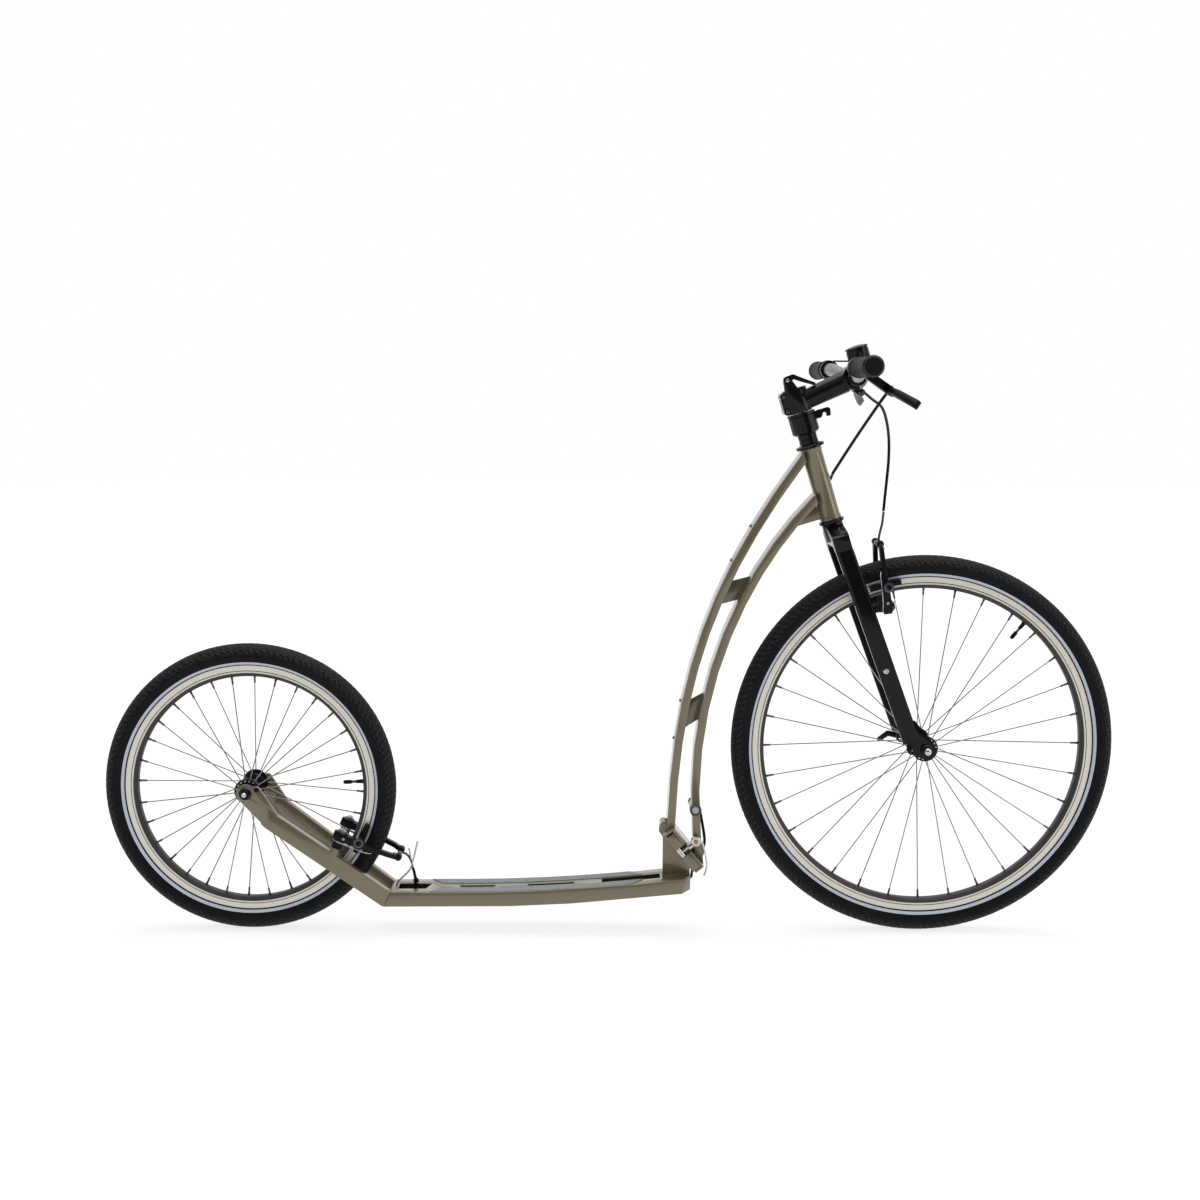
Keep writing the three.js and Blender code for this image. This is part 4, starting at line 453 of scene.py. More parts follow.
def turned(name, material, profile, origin, axis=(0, 1, 0), steps=48, ring=False):
    """A profile of [radius, place] pairs in millimetres, spun about an axis through origin."""
    bpy.ops.mesh.primitive_circle_add(vertices=len(profile), radius=1, fill_type="NOTHING")
    obj = named(name, material)
    for vertex, (radius, along) in zip(obj.data.vertices, profile):
        vertex.co = (radius * MM, along * MM, 0)
    if not ring:
        bpy.ops.object.mode_set(mode="EDIT")
        mesh = bmesh.from_edit_mesh(obj.data)
        mesh.verts.ensure_lookup_table()
        first, last = mesh.verts[0], mesh.verts[len(profile) - 1]
        closing = [edge for edge in mesh.edges if first in edge.verts and last in edge.verts]
        bmesh.ops.delete(mesh, geom=closing, context="EDGES")
        bmesh.update_edit_mesh(obj.data)
        bpy.ops.object.mode_set(mode="OBJECT")
    edited(
        (bpy.ops.mesh.spin, {"steps": steps, "angle": 2 * math.pi, "center": (0, 0, 0), "axis": (0, 1, 0)}),
        (bpy.ops.mesh.remove_doubles, {"threshold": 0.000002}),
        OUTWARD,
    )
    matrix = frame_along(axis)
    matrix.translation = origin
    obj.data.transform(matrix)
    return settle(obj, 32)


def mirrored(profile):
    """The other half of a wheel's profile, from its end back to its start."""
    return [[radius, -along] for radius, along in reversed(profile)]


def merged(name, *pieces):
    alone(pieces[0])
    for piece in pieces[1:]:
        piece.select_set(True)
    bpy.ops.object.join()
    obj = bpy.context.object
    obj.name = name
    obj.data.name = name
    return obj


def repeated(obj, origin, turns):
    """Copies of a modelled piece at turns about a wheel's axle, joined as one mesh."""
    name = obj.name
    copies = []
    for turn in turns:
        mesh = obj.data.copy()
        about = Matrix.Rotation(-math.radians(turn), 4, "Y")
        mesh.transform(Matrix.Translation(origin) @ about @ Matrix.Translation(-origin))
        copies.append(linked(name, mesh))
    bpy.data.objects.remove(obj)
    return merged(name, *copies)


def eased(node, name, material, width):
    """A copy of a CAD node whose sharp edges are eased."""
    copy = linked(name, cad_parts[node].data.copy())
    alone(copy)
    copy.data.materials.clear()
    copy.data.materials.append(material)
    edited(MELD, (bpy.ops.mesh.dissolve_limited, {"angle_limit": math.radians(2)}))
    bevelled(copy, width, use_clamp_overlap=True, miter_outer="MITER_ARC")
    return settle(copy, 40)


def cord_mesh(name, material, points, radius, segments=12):
    curve = bpy.data.curves.new(name, "CURVE")
    curve.dimensions = "3D"
    curve.resolution_u = 6
    curve.bevel_depth = radius * MM
    curve.bevel_resolution = segments // 4
    curve.use_fill_caps = True
    spline = curve.splines.new("BEZIER")
    spline.bezier_points.add(len(points) - 1)
    for bezier, point in zip(spline.bezier_points, points):
        bezier.co = point
        bezier.handle_left_type = "AUTO"
        bezier.handle_right_type = "AUTO"
    alone(linked(name, curve))
    bpy.ops.object.convert(target="MESH")
    obj = named(name, material)
    edited(MELD, OUTWARD)
    return settle(obj, 50)


def smoothed(points, between=5):
    """Points along a curve that passes through the given ones."""
    line = [Vector(point) for point in points]
    line = [line[0] * 2 - line[1], *line, line[-1] * 2 - line[-2]]
    path = []
    for a, b, c, d in zip(line, line[1:], line[2:], line[3:]):
        for step in range(between):
            t = step / between
            bend = 2 * a - 5 * b + 4 * c - d
            twist = 3 * b - a - 3 * c + d
            path.append(0.5 * (2 * b + (c - a) * t + bend * t * t + twist * t ** 3))
    return [*path, line[-2]]


def strap(name, material, stations, across, widths, thickness, ease):
    """A flat bar along stations: a grid laid along them, then given thickness and eased edges."""
    bpy.ops.mesh.primitive_grid_add(x_subdivisions=len(stations) - 1, y_subdivisions=1, size=1)
    obj = named(name, material)
    columns = sorted(obj.data.vertices, key=lambda vertex: (round(vertex.co.x, 5), vertex.co.y))
    side = Vector(across).normalized()
    for i, station in enumerate(stations):
        run = i / (len(stations) - 1) * (len(widths) - 1)
        low = min(int(run), len(widths) - 2)
        half = (widths[low] + (widths[low + 1] - widths[low]) * (run - low)) / 2 * MM
        columns[2 * i].co = station - side * half
        columns[2 * i + 1].co = station + side * half
    modified(obj, "SOLIDIFY", thickness=thickness * MM, offset=0)
    bevelled(obj, ease, 40)
    edited(OUTWARD)
    return settle(obj, 40)


def screw(name, material, origin, outward, radius, height, steps=24):
    """A domed screw head with a socket in it."""
    shape = [[0, 0], [1, 0], [1, 0.4], [0.86, 0.82], [0.6, 1], [0.46, 1], [0.4, 0.35], [0, 0.35]]
    profile = [[radius * wide, height * high] for wide, high in shape]
    return turned(name, material, profile, origin, outward, steps)


def disc_stack(name, material, profile, origin, outward, steps=40):
    return turned(name, material, [[0, profile[0][1]], *profile, [0, profile[-1][1]]], origin, outward, steps)


# Wheels
def tyre(name, origin, radius, material):
    """A round casing open to the rim: from the right bead over the tread to the left bead, and back inside."""
    bead = radius - BEAD_DEPTH
    centre = bead + 16
    tall = radius - centre
    edge = math.acos(-15.7 / tall)
    outer = []
    for step in range(-18, 19):
        turn = edge * step / 18
        outer.append([centre + tall * math.cos(turn), 20.7 * math.sin(turn)])
    inner = []
    for step in range(4, -5, -1):
        turn = (edge - 0.3) * step / 4
        inner.append([centre + (tall - 3) * math.cos(turn), 17.6 * math.sin(turn)])
    foot = bead - 6.8
    left_bead = [[bead, 10.4], [foot, 10.2], [foot, 7.6]]
    profile = [*outer, *left_bead, *inner, *mirrored(left_bead)]
    waves = round(2 * math.pi * radius / TREAD_PITCH)
    obj = turned(name, material, profile, origin, steps=waves * 4, ring=True)
    # The tread's waves, cut in from the round outline
    for vertex in obj.data.vertices:
        spot = vertex.co - origin
        reach = math.hypot(spot.x, spot.z)
        depth = (reach / MM - (radius - 13)) / 13
        if depth <= 0:
            continue
        turn = math.atan2(spot.z, spot.x)
        cut = 0.5 + 0.5 * math.sin(turn * waves + abs(spot.y) / MM * 0.9)
        share = 1 - 0.85 * MM * cut * min(1, depth * 2.5) / reach
        vertex.co = origin + Vector((spot.x * share, spot.y, spot.z * share))
    return obj


def rim(name, origin, radius, material):
    bead = radius - BEAD_DEPTH
    inner = bead - 19.7
    side = [
        [bead - 7.5, 10.7], [bead - 1.2, 10.7], [bead - 0.3, 11.0], [bead - 0.1, 11.5], [bead - 0.5, 12],
        [bead - 8.9, 12], [bead - 9.2, 11.3], [bead - 9.9, 11.3], [bead - 10.2, 11.9], [bead - 12.2, 12],
        [bead - 12.9, 11.6], [bead - 14.6, 10.5], [bead - 17, 8.9], [inner + 0.7, 6.7], [inner + 0.1, 5.6],
        [inner, 2],
    ]
    return turned(name, material, [*side, *mirrored(side)], origin, steps=180, ring=True)


def valve(name, origin, radius, degrees):
    inner = radius - RIM_DEPTH
    turn = math.radians(degrees)
    inward = Vector((-math.cos(turn), 0, -math.sin(turn)))
    start = origin - inward * inner * MM
    stem = [[0, -3], [4.4, -3], [4.4, 1.2], [3.5, 1.6], [3.2, 6], [2.9, 12.4], [0, 12.4]]
    neck = [[0, 12], [2.4, 12]]
    for ridge in range(6):
        neck += [[2.4, 12.4 + ridge * 1.3], [2.1, 13 + ridge * 1.3]]
    neck += [[2.1, 21], [0, 21]]
    cap = [[0, 20], [3.2, 20], [3.4, 20.6], [3.4, 30.5], [3.1, 32.6], [2.2, 33.8], [0, 34]]
    return (
        turned(name + "_valve_stem", soft_rubber, stem, start, inward, 24),
        turned(name + "_valve_neck", dark_steel, neck, start, inward, 24),
        turned(name + "_valve_cap", plastic, cap, start, inward, 24),
    )


def spokes(name, origin, radius, first):
    inner = radius - RIM_DEPTH
    halves = []
    for side in (1, -1):
        root = origin + Vector((17.4 * MM, 0, 0)) + ACROSS * (side * 35.4 * MM)
        tip = origin + Vector(((inner - 0.6) * MM, 0, 0)) + ACROSS * (side * 3 * MM)
        along = tip - root
        length = along.length / MM
        rod = [[0, 0], [0.779, 0], [0.95, 0.171], [0.95, length - 0.171], [0.779, length], [0, length]]
        wire = turned(name + "_spokes", spoke_steel, rod, root, along, 8)
        profile = [
            [0, -1.2], [1.7, -1.2], [2.1, -0.2], [2.1, 2.6], [1.75, 3.4], [1.75, 10.6], [1.3, 12.2], [0, 12.2],
        ]
        nipple = turned(name + "_nipples", dark_steel, profile, tip, -along, 10)
        button = [[0, 0.9], [0.9, 0.85], [1.7, 0.4], [1.9, 0], [1.9, -0.5], [0, -0.5]]
        head_at = origin + Vector((17.4 * MM, side * 36.9 * MM, 0))
        head = turned(name + "_spoke_heads", steel, button, head_at, ACROSS * side, 12)
        places = range(0 if side > 0 else 1, SPOKE_COUNT, 2)
        turns = [first + i * 360 / SPOKE_COUNT for i in places]
        halves.append([repeated(piece, origin, turns) for piece in (wire, nipple, head)])
    return [merged(left.name, left, right) for left, right in zip(*halves)]


def hub(name, origin):
    half = [
        [11, 0], [11, 16], [11.5, 24], [12.8, 30], [14.6, 32.6], [18, 33.4], [20.9, 33.6], [21.5, 34.2],
        [21.5, 35.8], [20.9, 36.4], [17, 36.6], [14, 37.3], [12.9, 38.8], [12.3, 41.2], [9.6, 41.6], [9, 42.2],
        [9, 45.8], [8.6, 46.2], [5.3, 46.2],
    ]
    return turned(name, black_paint, [*mirrored(half[1:]), *half], origin, steps=64, ring=True)


def axle_piece(name, origin, lever_end):
    """The axle with its washers and nuts. The lever's end has a cup in place of a nut."""
    rod = [[0, -62], [4.6, -62], [4.9, -61], [4.9, 59.6], [4.6, 60.2], [0, 60.2]]
    pieces = [turned(name, dark_steel, rod, origin, steps=24)]
    dome = [[4, 60], [4, 63.4], [3.2, 64.4], [0, 64.4]]
    if lever_end:
        dome = [[5.6, 60], [5.8, 61.8], [4.8, 63.4], [3, 64.4], [0, 64.7]]
    for side in (1, -1):
        outward = ACROSS * side
        washer = [[0, 52.8], [10, 52.8], [10.2, 53.2], [10.2, 54.3], [9.9, 54.7], [0, 54.7]]
        pieces.append(turned(name, dark_steel, washer, origin, outward, 36))
        if side > 0 and lever_end:
            cup = [[0, 54.6], [8.9, 54.6], [8.9, 58.2], [8.2, 60], [0, 60]]
            pieces.append(turned(name, anodised, cup, origin, outward, 32))
        else:
            nut = [[0, 54.6], [7.905, 54.6], [8.5, 55.1], [8.5, 59.3], [7.65, 60.2], [4.25, 60.2], [0, 60.2]]
            pieces.append(turned(name, anodised, nut, origin, outward, 6))
            pieces.append(turned(name, steel, [[0, 60], *dome], origin, outward, 28))
            rings = [[8.4, 54.6], [9.6, 54.8], [9.8, 56], [9, 57.2], [8.4, 57.2]]
            pieces.append(turned(name, anodised, rings, origin, outward, 40, True))
    return merged(name, *pieces)


for wheel_name, centre, radius, degrees, first, rubber, metal in (
    ("front", FRONT_CENTRE, FRONT_RADIUS, 51.2, 0.6, front_rubber, front_rim_metal),
    ("rear", REAR_CENTRE, REAR_RADIUS, 2.9, -2.7, rear_rubber, rear_rim_metal),
):
    body = wheel_name + "_wheel"
    kept(tyre(wheel_name + "_tyre_cover", centre, radius, rubber), body, wheel_name + "_tyre")
    kept(rim(wheel_name + "_rim_ring", centre, radius, metal), body, wheel_name + "_rim")
    for piece in (*valve(wheel_name, centre, radius, degrees), *spokes(wheel_name, centre, radius, first)):
        kept(piece, body)
    kept(hub(wheel_name + "_hub_shell", centre), body, wheel_name + "_hub_and_spokes")
kept(axle_piece("front_axle_nuts", FRONT_CENTRE, True), "steering", "front_axle")
kept(axle_piece("rear_axle_nuts", REAR_CENTRE, False), "chassis", "rear_axle")

# The CAD pieces with eased edges, and how wide each ease is in millimetres
for material, body, widths in (
    (frame_paint, "chassis", {"deck_beam": 1.2, "deck_hinge": 0.7, "stay_left": 1.7, "stay_right": 1.7}),
    (frame_paint, "front_frame", {"rear_arch": 1.3, "front_arch": 1.3}),
    (frame_paint, "front_frame", {"head_gusset": 0.6, "hinge_channel": 0.7}),
    (black_paint, "steering", {"fork_leg_left": 1.6, "fork_leg_right": 1.6, "fork_crown": 3.2}),
    (black_paint, "axle_lever", {"axle_lever": 1.0}),
    (black_paint, "column", {"stem": 1.2}),
    (bar_metal, "column", {"bar_clamp_cap": 0.9}),
    (anodised, "column", {"brake_bracket_left": 1.0, "brake_bracket_right": 1.0}),
    (black_paint, "stem_lever", {"stem_lever": 1.0}),
    (steel, "fold_skewer", {"fold_skewer": 0.4}),
    (anodised, "bell_striker", {"bell_striker": 0.5}),
):
    for node, width in widths.items():
        kept(eased(node, node + "_eased", material, width), body, node)

# Each gusset's arch direction and the rise of its plate along it
GUSSET_SLANTS = {
    "upper_arch_gusset": (Vector((0.418, 0, 0.908)), 0.34),
    "lower_arch_gusset": (Vector((0.196, 0, 0.98)), 0.56),
}


def box_of(node):
    return [Vector(corner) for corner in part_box(node)]


def slanted(point, node):
    """Gusset points slide along the arches, so that the plate rises towards the front arch."""
    along, rise = GUSSET_SLANTS[node]
    low, high = box_of(node)
    middle = (low + high) / 2
    arch_x = middle.x + (point.z - middle.z) * along.x / along.z
    return point + along * rise * (point.x - arch_x)


for node in GUSSET_SLANTS:
    plate = eased(node, node + "_eased", frame_paint, 0.6)
    for vertex in plate.data.vertices:
        vertex.co = slanted(vertex.co, node)
    kept(plate, "front_frame", node)

# Turned pieces on the steering axis: profiles of [radius, height above the head tube's top]
for name, material, steps, body, node, profile in (
    (
        "head_tube_smooth", frame_paint, 64, "front_frame", "head_tube",
        [
            [14.6, 0], [17.3, 0], [17.9, -0.6], [17.9, -5], [17.2, -6.2], [17, -7], [17, -116],
            [17.2, -116.8], [17.9, -118], [17.9, -122.4], [17.3, -123], [14.6, -123],
        ],
    ),
    (
        "upper_cup_smooth", black_paint, 56, "front_frame", "upper_headset_cup",
        [
            [13.1, 0.3], [17.6, 0.3], [22.9, 0.4], [23.5, 1], [23.5, 4.4], [22.6, 5.3], [19, 5.8], [17, 7.2],
            [13.1, 7.3],
        ],
    ),
    (
        "lower_cup_smooth", black_paint, 56, "front_frame", "lower_headset_cup",
        [
            [13.1, -123.3], [18.4, -123.3], [20.6, -124], [21, -124.6], [21, -127.6], [20.4, -128.9],
            [19.4, -129.3], [13.1, -129.3],
        ],
    ),
    (
        "spacer_smooth", black_paint, 48, "steering", "steerer_spacer",
        [
            [13, 7.6], [15.2, 7.6], [15.6, 8], [15.6, 14.6], [15, 15.2], [15, 16], [15.6, 16.6], [15.6, 23.6],
            [15.2, 24], [13, 24],
        ],
    ),
):
    kept(turned(name, material, profile, on_steerer(0, 0, 0), STEER_UP, steps, True), body, node)


# Rim brakes: slim arms with their pad studs, pivot bolts, arm tops and springs. In millimetres from the
# line between the two pivots: the pads' place ahead and up, and the pivots' place across
PAD_AHEAD = 6
PAD_UP = 32
PIVOT_ACROSS = 42
PAD_DEPTH = 40  # From the tread in to the middle of the pad


def brake_place(axle, radius, pad_angle, arm_angle, flip):
    """Where things stand at a brake: towards its open face, across the bike, and out along the arms."""
    turn, pad_turn = math.radians(arm_angle), math.radians(pad_angle)
    out = Vector((math.cos(turn), 0, math.sin(turn)))
    face = Vector((out.z, 0, -out.x)) * flip
    track = radius - PAD_DEPTH
    pad = Vector((axle[0] + track * math.cos(pad_turn), 0, axle[1] + track * math.sin(pad_turn)))
    origin = pad - out * PAD_UP - face * PAD_AHEAD

    def spot(ahead, across, up):
        return place(*(origin + face * ahead + ACROSS * across + out * up))

    return spot, face, out


for wheel_name, axle, radius, pad_angle, arm_angle, flip in (
    ("front", FRONT_AXLE, FRONT_RADIUS, 104.5, 96.5, 1),
    ("rear", REAR_AXLE, REAR_RADIUS, -24.2, -23.5, -1),
):
    spot, face, out = brake_place(axle, radius, pad_angle, arm_angle, flip)
    carrier = "steering" if wheel_name == "front" else "chassis"
    for side, sign in SIDES:
        body = f"{wheel_name}_brake_arm_{side}"
        arm = eased(body, body + "_slim", anodised, 0.9)
        base = spot(0, 0, 0)
        for vertex in arm.data.vertices:
            up = (vertex.co - base).dot(out) / MM
            ahead = (vertex.co - base).dot(face) / MM
            slim = min(1, max(0, (up - 8) / 48))
            if abs(vertex.co.y) > 0.0285 or up > 52:
                vertex.co -= face * (ahead - 2.4) * 0.45 * slim * MM
        kept(arm, body, body)
        outward = ACROSS * sign
        ring_at = spot(9.2, sign * PIVOT_ACROSS, 0)
        collar = [[7.4, 0], [9.4, 0.4], [9.4, 1.6], [7.4, 2]]
        stud_at = spot(PAD_AHEAD, sign * 53.9, PAD_UP)
        washers = [[8.2, 50.4], [8.4, 51.6], [7, 51.9], [6.2, 52.2], [7.6, 52.6], [7.6, 53.8], [5, 54]]
        top = [[4.4, -7], [5.9, -5.6], [6.3, 0], [5.9, 5.6], [4.4, 7]]
        wire = [
            (-6.5, 34.5, -3), (-7, 42, -9), (-6.5, 50.4, -2), (-5.6, 51.6, 12), (-5.4, 50.6, 32),
            (-5, 46.4, 54), (-3.4, 43.8, 58),
        ]
        line = [spot(x, sign * y, z) for x, y, z in wire]
        bush = [
            [8.3, -19], [8.9, -18.2], [8.9, -14], [8.2, -13.4], [8.2, -12], [8.9, -11.4], [8.9, -5.4],
            [8.3, -4.7],
        ]
        kept(disc_stack(body + "_spring_bush", plastic, bush, spot(0, sign * PIVOT_ACROSS, 0), face), carrier)
        for piece in (
            screw(body + "_pivot_bolt", steel, spot(13, sign * PIVOT_ACROSS, 0), face, 5.4, 3),
            turned(body + "_pivot_ring", dark_steel, collar, ring_at, face, 32, True),
            disc_stack(body + "_pad_washers", dark_steel, washers, spot(PAD_AHEAD, 0, PAD_UP), outward),
            screw(body + "_pad_screw", anodised, stud_at, outward, 5, 3.4, 6),
            disc_stack(body + "_arm_top", plastic, top, spot(2.4, sign * 22, 101.6), ACROSS),
            screw(body + "_cable_screw", steel, spot(6, sign * 25.5, 94), face, 3.1, 2.6),
            cord_mesh(body + "_spring", steel, line, 0.8, 8),
            screw(body + "_spring_screw", steel, spot(2, sign * 49.6, 6), outward, 2.4, 2.6),
        ):
            kept(piece, body)


def slab(name, material, outline, half_width):
    """A plate across the bike: an outline ahead of and above the top of the head tube, extruded and eased."""
    bpy.ops.mesh.primitive_circle_add(vertices=len(outline), radius=1, fill_type="NGON")
    obj = named(name, material)
    for vertex, (ahead, above) in zip(obj.data.vertices, outline):
        vertex.co = on_steerer(ahead, -half_width, above)
    across = {"TRANSFORM_OT_translate": {"value": (0, 2 * half_width * MM, 0)}}
    edited((bpy.ops.mesh.extrude_region_move, across), OUTWARD)
    bevelled(obj, 0.6)
    return settle(obj, 40)


hook_outline = [
    [18.2, 52.4], [25.2, 56.3], [45.0, 56.3], [48.1, 53.2], [46.2, 42.1], [39.7, 42.0], [40.1, 49.2],
    [35.2, 50.0], [30.6, 42.8], [19.5, 43.0],
]
kept(slab("height_hook_plate", anodised, hook_outline, 5.4), "height_hook", "height_hook")

# Levers on the bar: broad flat blades
LEVER_DROP = math.radians(52)
LEVER_PIVOT_REACH = 60


def lever_spot(reach, across, up):
    ahead = GRIP_AHEAD + reach * math.cos(LEVER_DROP) + up * math.sin(LEVER_DROP)
    above = GRIP_ABOVE - reach * math.sin(LEVER_DROP) + up * math.cos(LEVER_DROP)
    return on_steerer(ahead, across, above)


LEVER_OUT = (lever_spot(1, 0, 0) - lever_spot(0, 0, 0)).normalized()
LEVER_UP = (lever_spot(0, 0, 1) - lever_spot(0, 0, 0)).normalized()
for side, sign in SIDES:
    body = "brake_lever_" + side
    blade = eased(body, body + "_blade", anodised, 1.3)
    base = lever_spot(0, 0, 0)
    for vertex in blade.data.vertices:
        reach = (vertex.co - base).dot(LEVER_OUT) / MM
        up = (vertex.co - base).dot(LEVER_UP) / MM
        far = max(0, reach - LEVER_PIVOT_REACH)
        vertex.co += LEVER_UP * (up * (0.25 + 0.5 * min(1, far / 12)) - 0.1 * far) * MM
        vertex.co -= LEVER_OUT * far * 0.2 * MM
    kept(blade, body, body)
    pivot = lever_spot(LEVER_PIVOT_REACH, sign * 160, 6.4)
    kept(screw(body + "_pivot_screw", steel, pivot, LEVER_UP, 3.4, 2.2), "column")
    clamp = lever_spot(17, sign * 154, 6.6)
    kept(screw(body + "_clamp_screw", steel, clamp, LEVER_UP, 3.2, 2.4), "column")

# Fold latch: a cam with its pin and a thin curved lever, and the boss across the front arch
CAM_ACROSS = -32.4
CAM_RUN = 42
cam_at = on_joint(CAM_RUN, CAM_ACROSS, 36.4)
cam = disc_stack("fold_cam", steel, [[7.2, -5], [8.4, -4.2], [8.4, 4.2], [7.2, 5]], cam_at, ACROSS, 48)
cam_rim = [[4.6, -5.6], [6.6, -5.6], [6.6, -4.8], [4.6, -4.8]]
cam_ring = turned("fold_cam_ring", steel, cam_rim, cam_at, ACROSS, 40, True)
pin = [[3.4, -6.4], [3.7, -5.8], [3.7, 5.8], [3.4, 6.4]]
cam_pin = disc_stack("fold_cam_pin", brass, pin, cam_at, ACROSS, 28)
blade_line = [(44, 41.5), (52, 42.6), (61, 39.2), (72, 33.6), (83, 27), (91.5, 19.4), (97.5, 10)]
blade_path = smoothed([on_joint(run, CAM_ACROSS, rise) for run, rise in blade_line])
blade = strap("fold_lever_blade", steel, blade_path, ACROSS, [9, 7.4, 6.4, 6, 7], 2.6, 0.7)
kept(merged("fold_lever_whole", cam, cam_ring, blade), "fold_lever", "fold_lever")
kept(cam_pin, "fold_lever")
barrel_at = on_joint(CAM_RUN, CAM_ACROSS, 4)
sleeve = [[4.3, -8.9], [4.7, -8.3], [4.7, 8.3], [4.3, 8.9]]
kept(disc_stack("fold_barrel_sleeve", steel, sleeve, barrel_at, JOINT_RUN, 28), "fold_skewer")
# What comes in pairs is numbered 0 on the right and 2 on the left
for count, sign in ((0, -1), (2, 1)):
    end = [[4.2, 9], [5.2, 9.2], [5.2, 10.6], [4.4, 11.2]]
    kept(disc_stack(f"fold_barrel_cap_{count}", plastic, end, barrel_at, JOINT_RUN * sign, 24), "fold_skewer")
    boss_at = place(184.2, sign * 28, 212.8)
    outward = ACROSS * sign
    # The ring round the boss is painted darker, as painted shade
    ring = [[6.2, -1], [9.9, -1], [9.9, 1.2], [9.2, 2], [7, 2], [6.2, 1.2]]
    kept(turned(f"cross_boss_ring_{count}", shaded_paint, ring, boss_at, outward, 44, True), "front_frame")
    plug = [[6.1, -0.6], [6.1, 0.2], [5.4, 0.9]]
    kept(disc_stack(f"cross_boss_plug_{count}", plug_grey, plug, boss_at, outward, 36), "front_frame")

# Small screws on the fork, the dropouts and the stem, one on each side
STEM_LUGS = ((-21.5, 93.1), (-21.5, 67.8))
for count, (ahead, above) in enumerate(STEM_LUGS):
    lug = [[5, -17.6], [6.2, -16.8], [6.2, 16.8], [5, 17.6]]
    kept(disc_stack(f"stem_lug_{count}", black_paint, lug, on_steerer(ahead, 0, above), ACROSS, 32), "column")
for count, sign in ((0, -1), (2, 1)):
    lugs = [
        (f"stem_lug_screw_{lug}_{count}", dark_steel, on_steerer(ahead, sign * 17.4, above), 3.6, 2.2, "column")
        for lug, (ahead, above) in enumerate(STEM_LUGS)
    ]
    fork_screw = "fork_side_screw" if sign < 0 else "fork_side_screw_left"
    for name, material, spot_at, radius, height, body in (
        (fork_screw, steel, place(491.9, sign * 56.3, 455.6), 5.2, 3.4, "steering"),
        (f"front_eyelet_screw_{count}", anodised, place(534.5, sign * 52.8, 324.3), 4.6, 2.6, "steering"),
        (f"rear_eyelet_screw_{count}", anodised, place(-545.2, sign * 52.8, 251.4), 4, 2.6, "chassis"),
        (f"stem_lever_pin_{count}", steel, on_steerer(-8, -9 + sign * 6.6, 117.3), 3.4, 2, "column"),
        *lugs,
    ):
        kept(screw(name, material, spot_at, ACROSS * sign, radius, height), body)

# Bell: an upright drum with a notched rim, on a ring round the bar
bell_at = on_steerer(109, -46, 123.5)
drum = [
    [14.6, -8.6], [17.4, -8], [18.2, -6.6], [18.2, 8.8], [17.3, 9.4], [17.3, 10.6], [18.5, 11.2], [18.5, 13],
    [17.2, 14.4], [11, 15.8], [7.4, 16.2], [6.8, 15.4],
]
foot = [[4, -22], [4, -14.6], [13.4, -14.4], [13.8, -12], [4.4, -11.6], [4.4, -8]]
clamp = [[11.6, -5], [14.4, -5], [14.8, -4], [14.8, 4], [14.4, 5], [11.6, 5]]
kept(disc_stack("bell_drum", black_paint, drum, bell_at, STEER_UP, 56), "column", "bell")
kept(disc_stack("bell_foot", plastic, foot, bell_at, STEER_UP, 40), "column")
kept(turned("bell_ring", plastic, clamp, on_steerer(98.4, -46, 90.8), ACROSS, 40, True), "column")

# Grips with their caps, and the bar
for side, sign in SIDES:
    profile = [
        [11.4, 172], [16, 172], [16.6, 172.6], [16.6, 175.4], [16, 176.2], [15.2, 177.5], [15.2, 293],
        [16, 294.6], [16.6, 295.6], [16.6, 298.2], [16, 299.2], [14.6, 300], [13.4, 300], [12.9, 299.4],
        [0, 299.4], [0, 297.6], [11.4, 297.6],
    ]
    made = turned("grip_sleeve_" + side, grip_skin, profile, GRIP_LINE, ACROSS * sign, 56)
    kept(made, "column", "grip_" + side)
    cap = [[11.4, 299], [12.3, 299.4], [12.3, 300.4], [11.8, 300.9], [10.6, 300.9], [10, 300.3]]
    kept(disc_stack("grip_cap_" + side, plastic, cap, GRIP_LINE, ACROSS * sign, 48), "column")
    # The end ring's lighter grey is a painted sheen
    rim_ring = [[12.6, 299.6], [14.9, 299.3], [15.3, 300], [14.6, 300.7], [12.9, 300.7]]
    kept(turned("grip_ring_" + side, ring_painted_sheen, rim_ring, GRIP_LINE, ACROSS * sign, 56, True), "column")
bends = [[34, 0], [51.28, 0.07], [88, 0.5], [124.72, 0.93], [142, 1], [200, 1], [297.2, 1]]
bar_points = []
for sign in (-1, 1):
    for across, share in sorted(bends, reverse=sign < 0):
        bar_points.append(on_steerer(99 - 13.4 * share, sign * across, 90 + 18.8 * share))
kept(cord_mesh("bar_tube", bar_metal, bar_points, 11.1, 32), "column", "handlebar")

# Cables along their routes, in millimetres of the bike's own frame
FRONT_CABLE = [
    (471.8, 123.6, 909.2), (471.8, 118, 909.2), (474, 108, 907), (482.2, 90, 897.7), (493.9, 60, 884.4),
    (498.2, 35, 861.4), (498.2, 10, 832.5), (495.5, -8, 799), (491.9, -16, 766.8), (488.6, -20, 735),
    (487.1, -20, 715.9),
]
REAR_CABLE_FROM_LEVER = [
    (471.8, -123.6, 909.2), (471.5, -116, 908.6), (466.4, -104, 899.6), (455.6, -84, 878.5),
    (439.6, -56, 846.8), (423.4, -31, 814.4), (413.6, -18.4, 795), (406, -8.6, 780),
]
REAR_CABLE_ALONG_FRAME = [
    (405.7, -8.4, 779.4), (404.6, -7.6, 777.2), (404.6, 4.5, 772.2), (401.4, 15.5, 762), (392, 24, 747),
    (381, 28, 733), (362, 27.8, 715), (348.8, 27.8, 700.9), (300.9, 27.8, 634.7), (260, 27.8, 568.5),
    (229.5, 27.8, 496.4), (210.1, 27.8, 434), (194.6, 27.8, 362.7), (184.4, 27.9, 290), (183.6, 29.5, 255),
    (191.5, 31, 214),
]
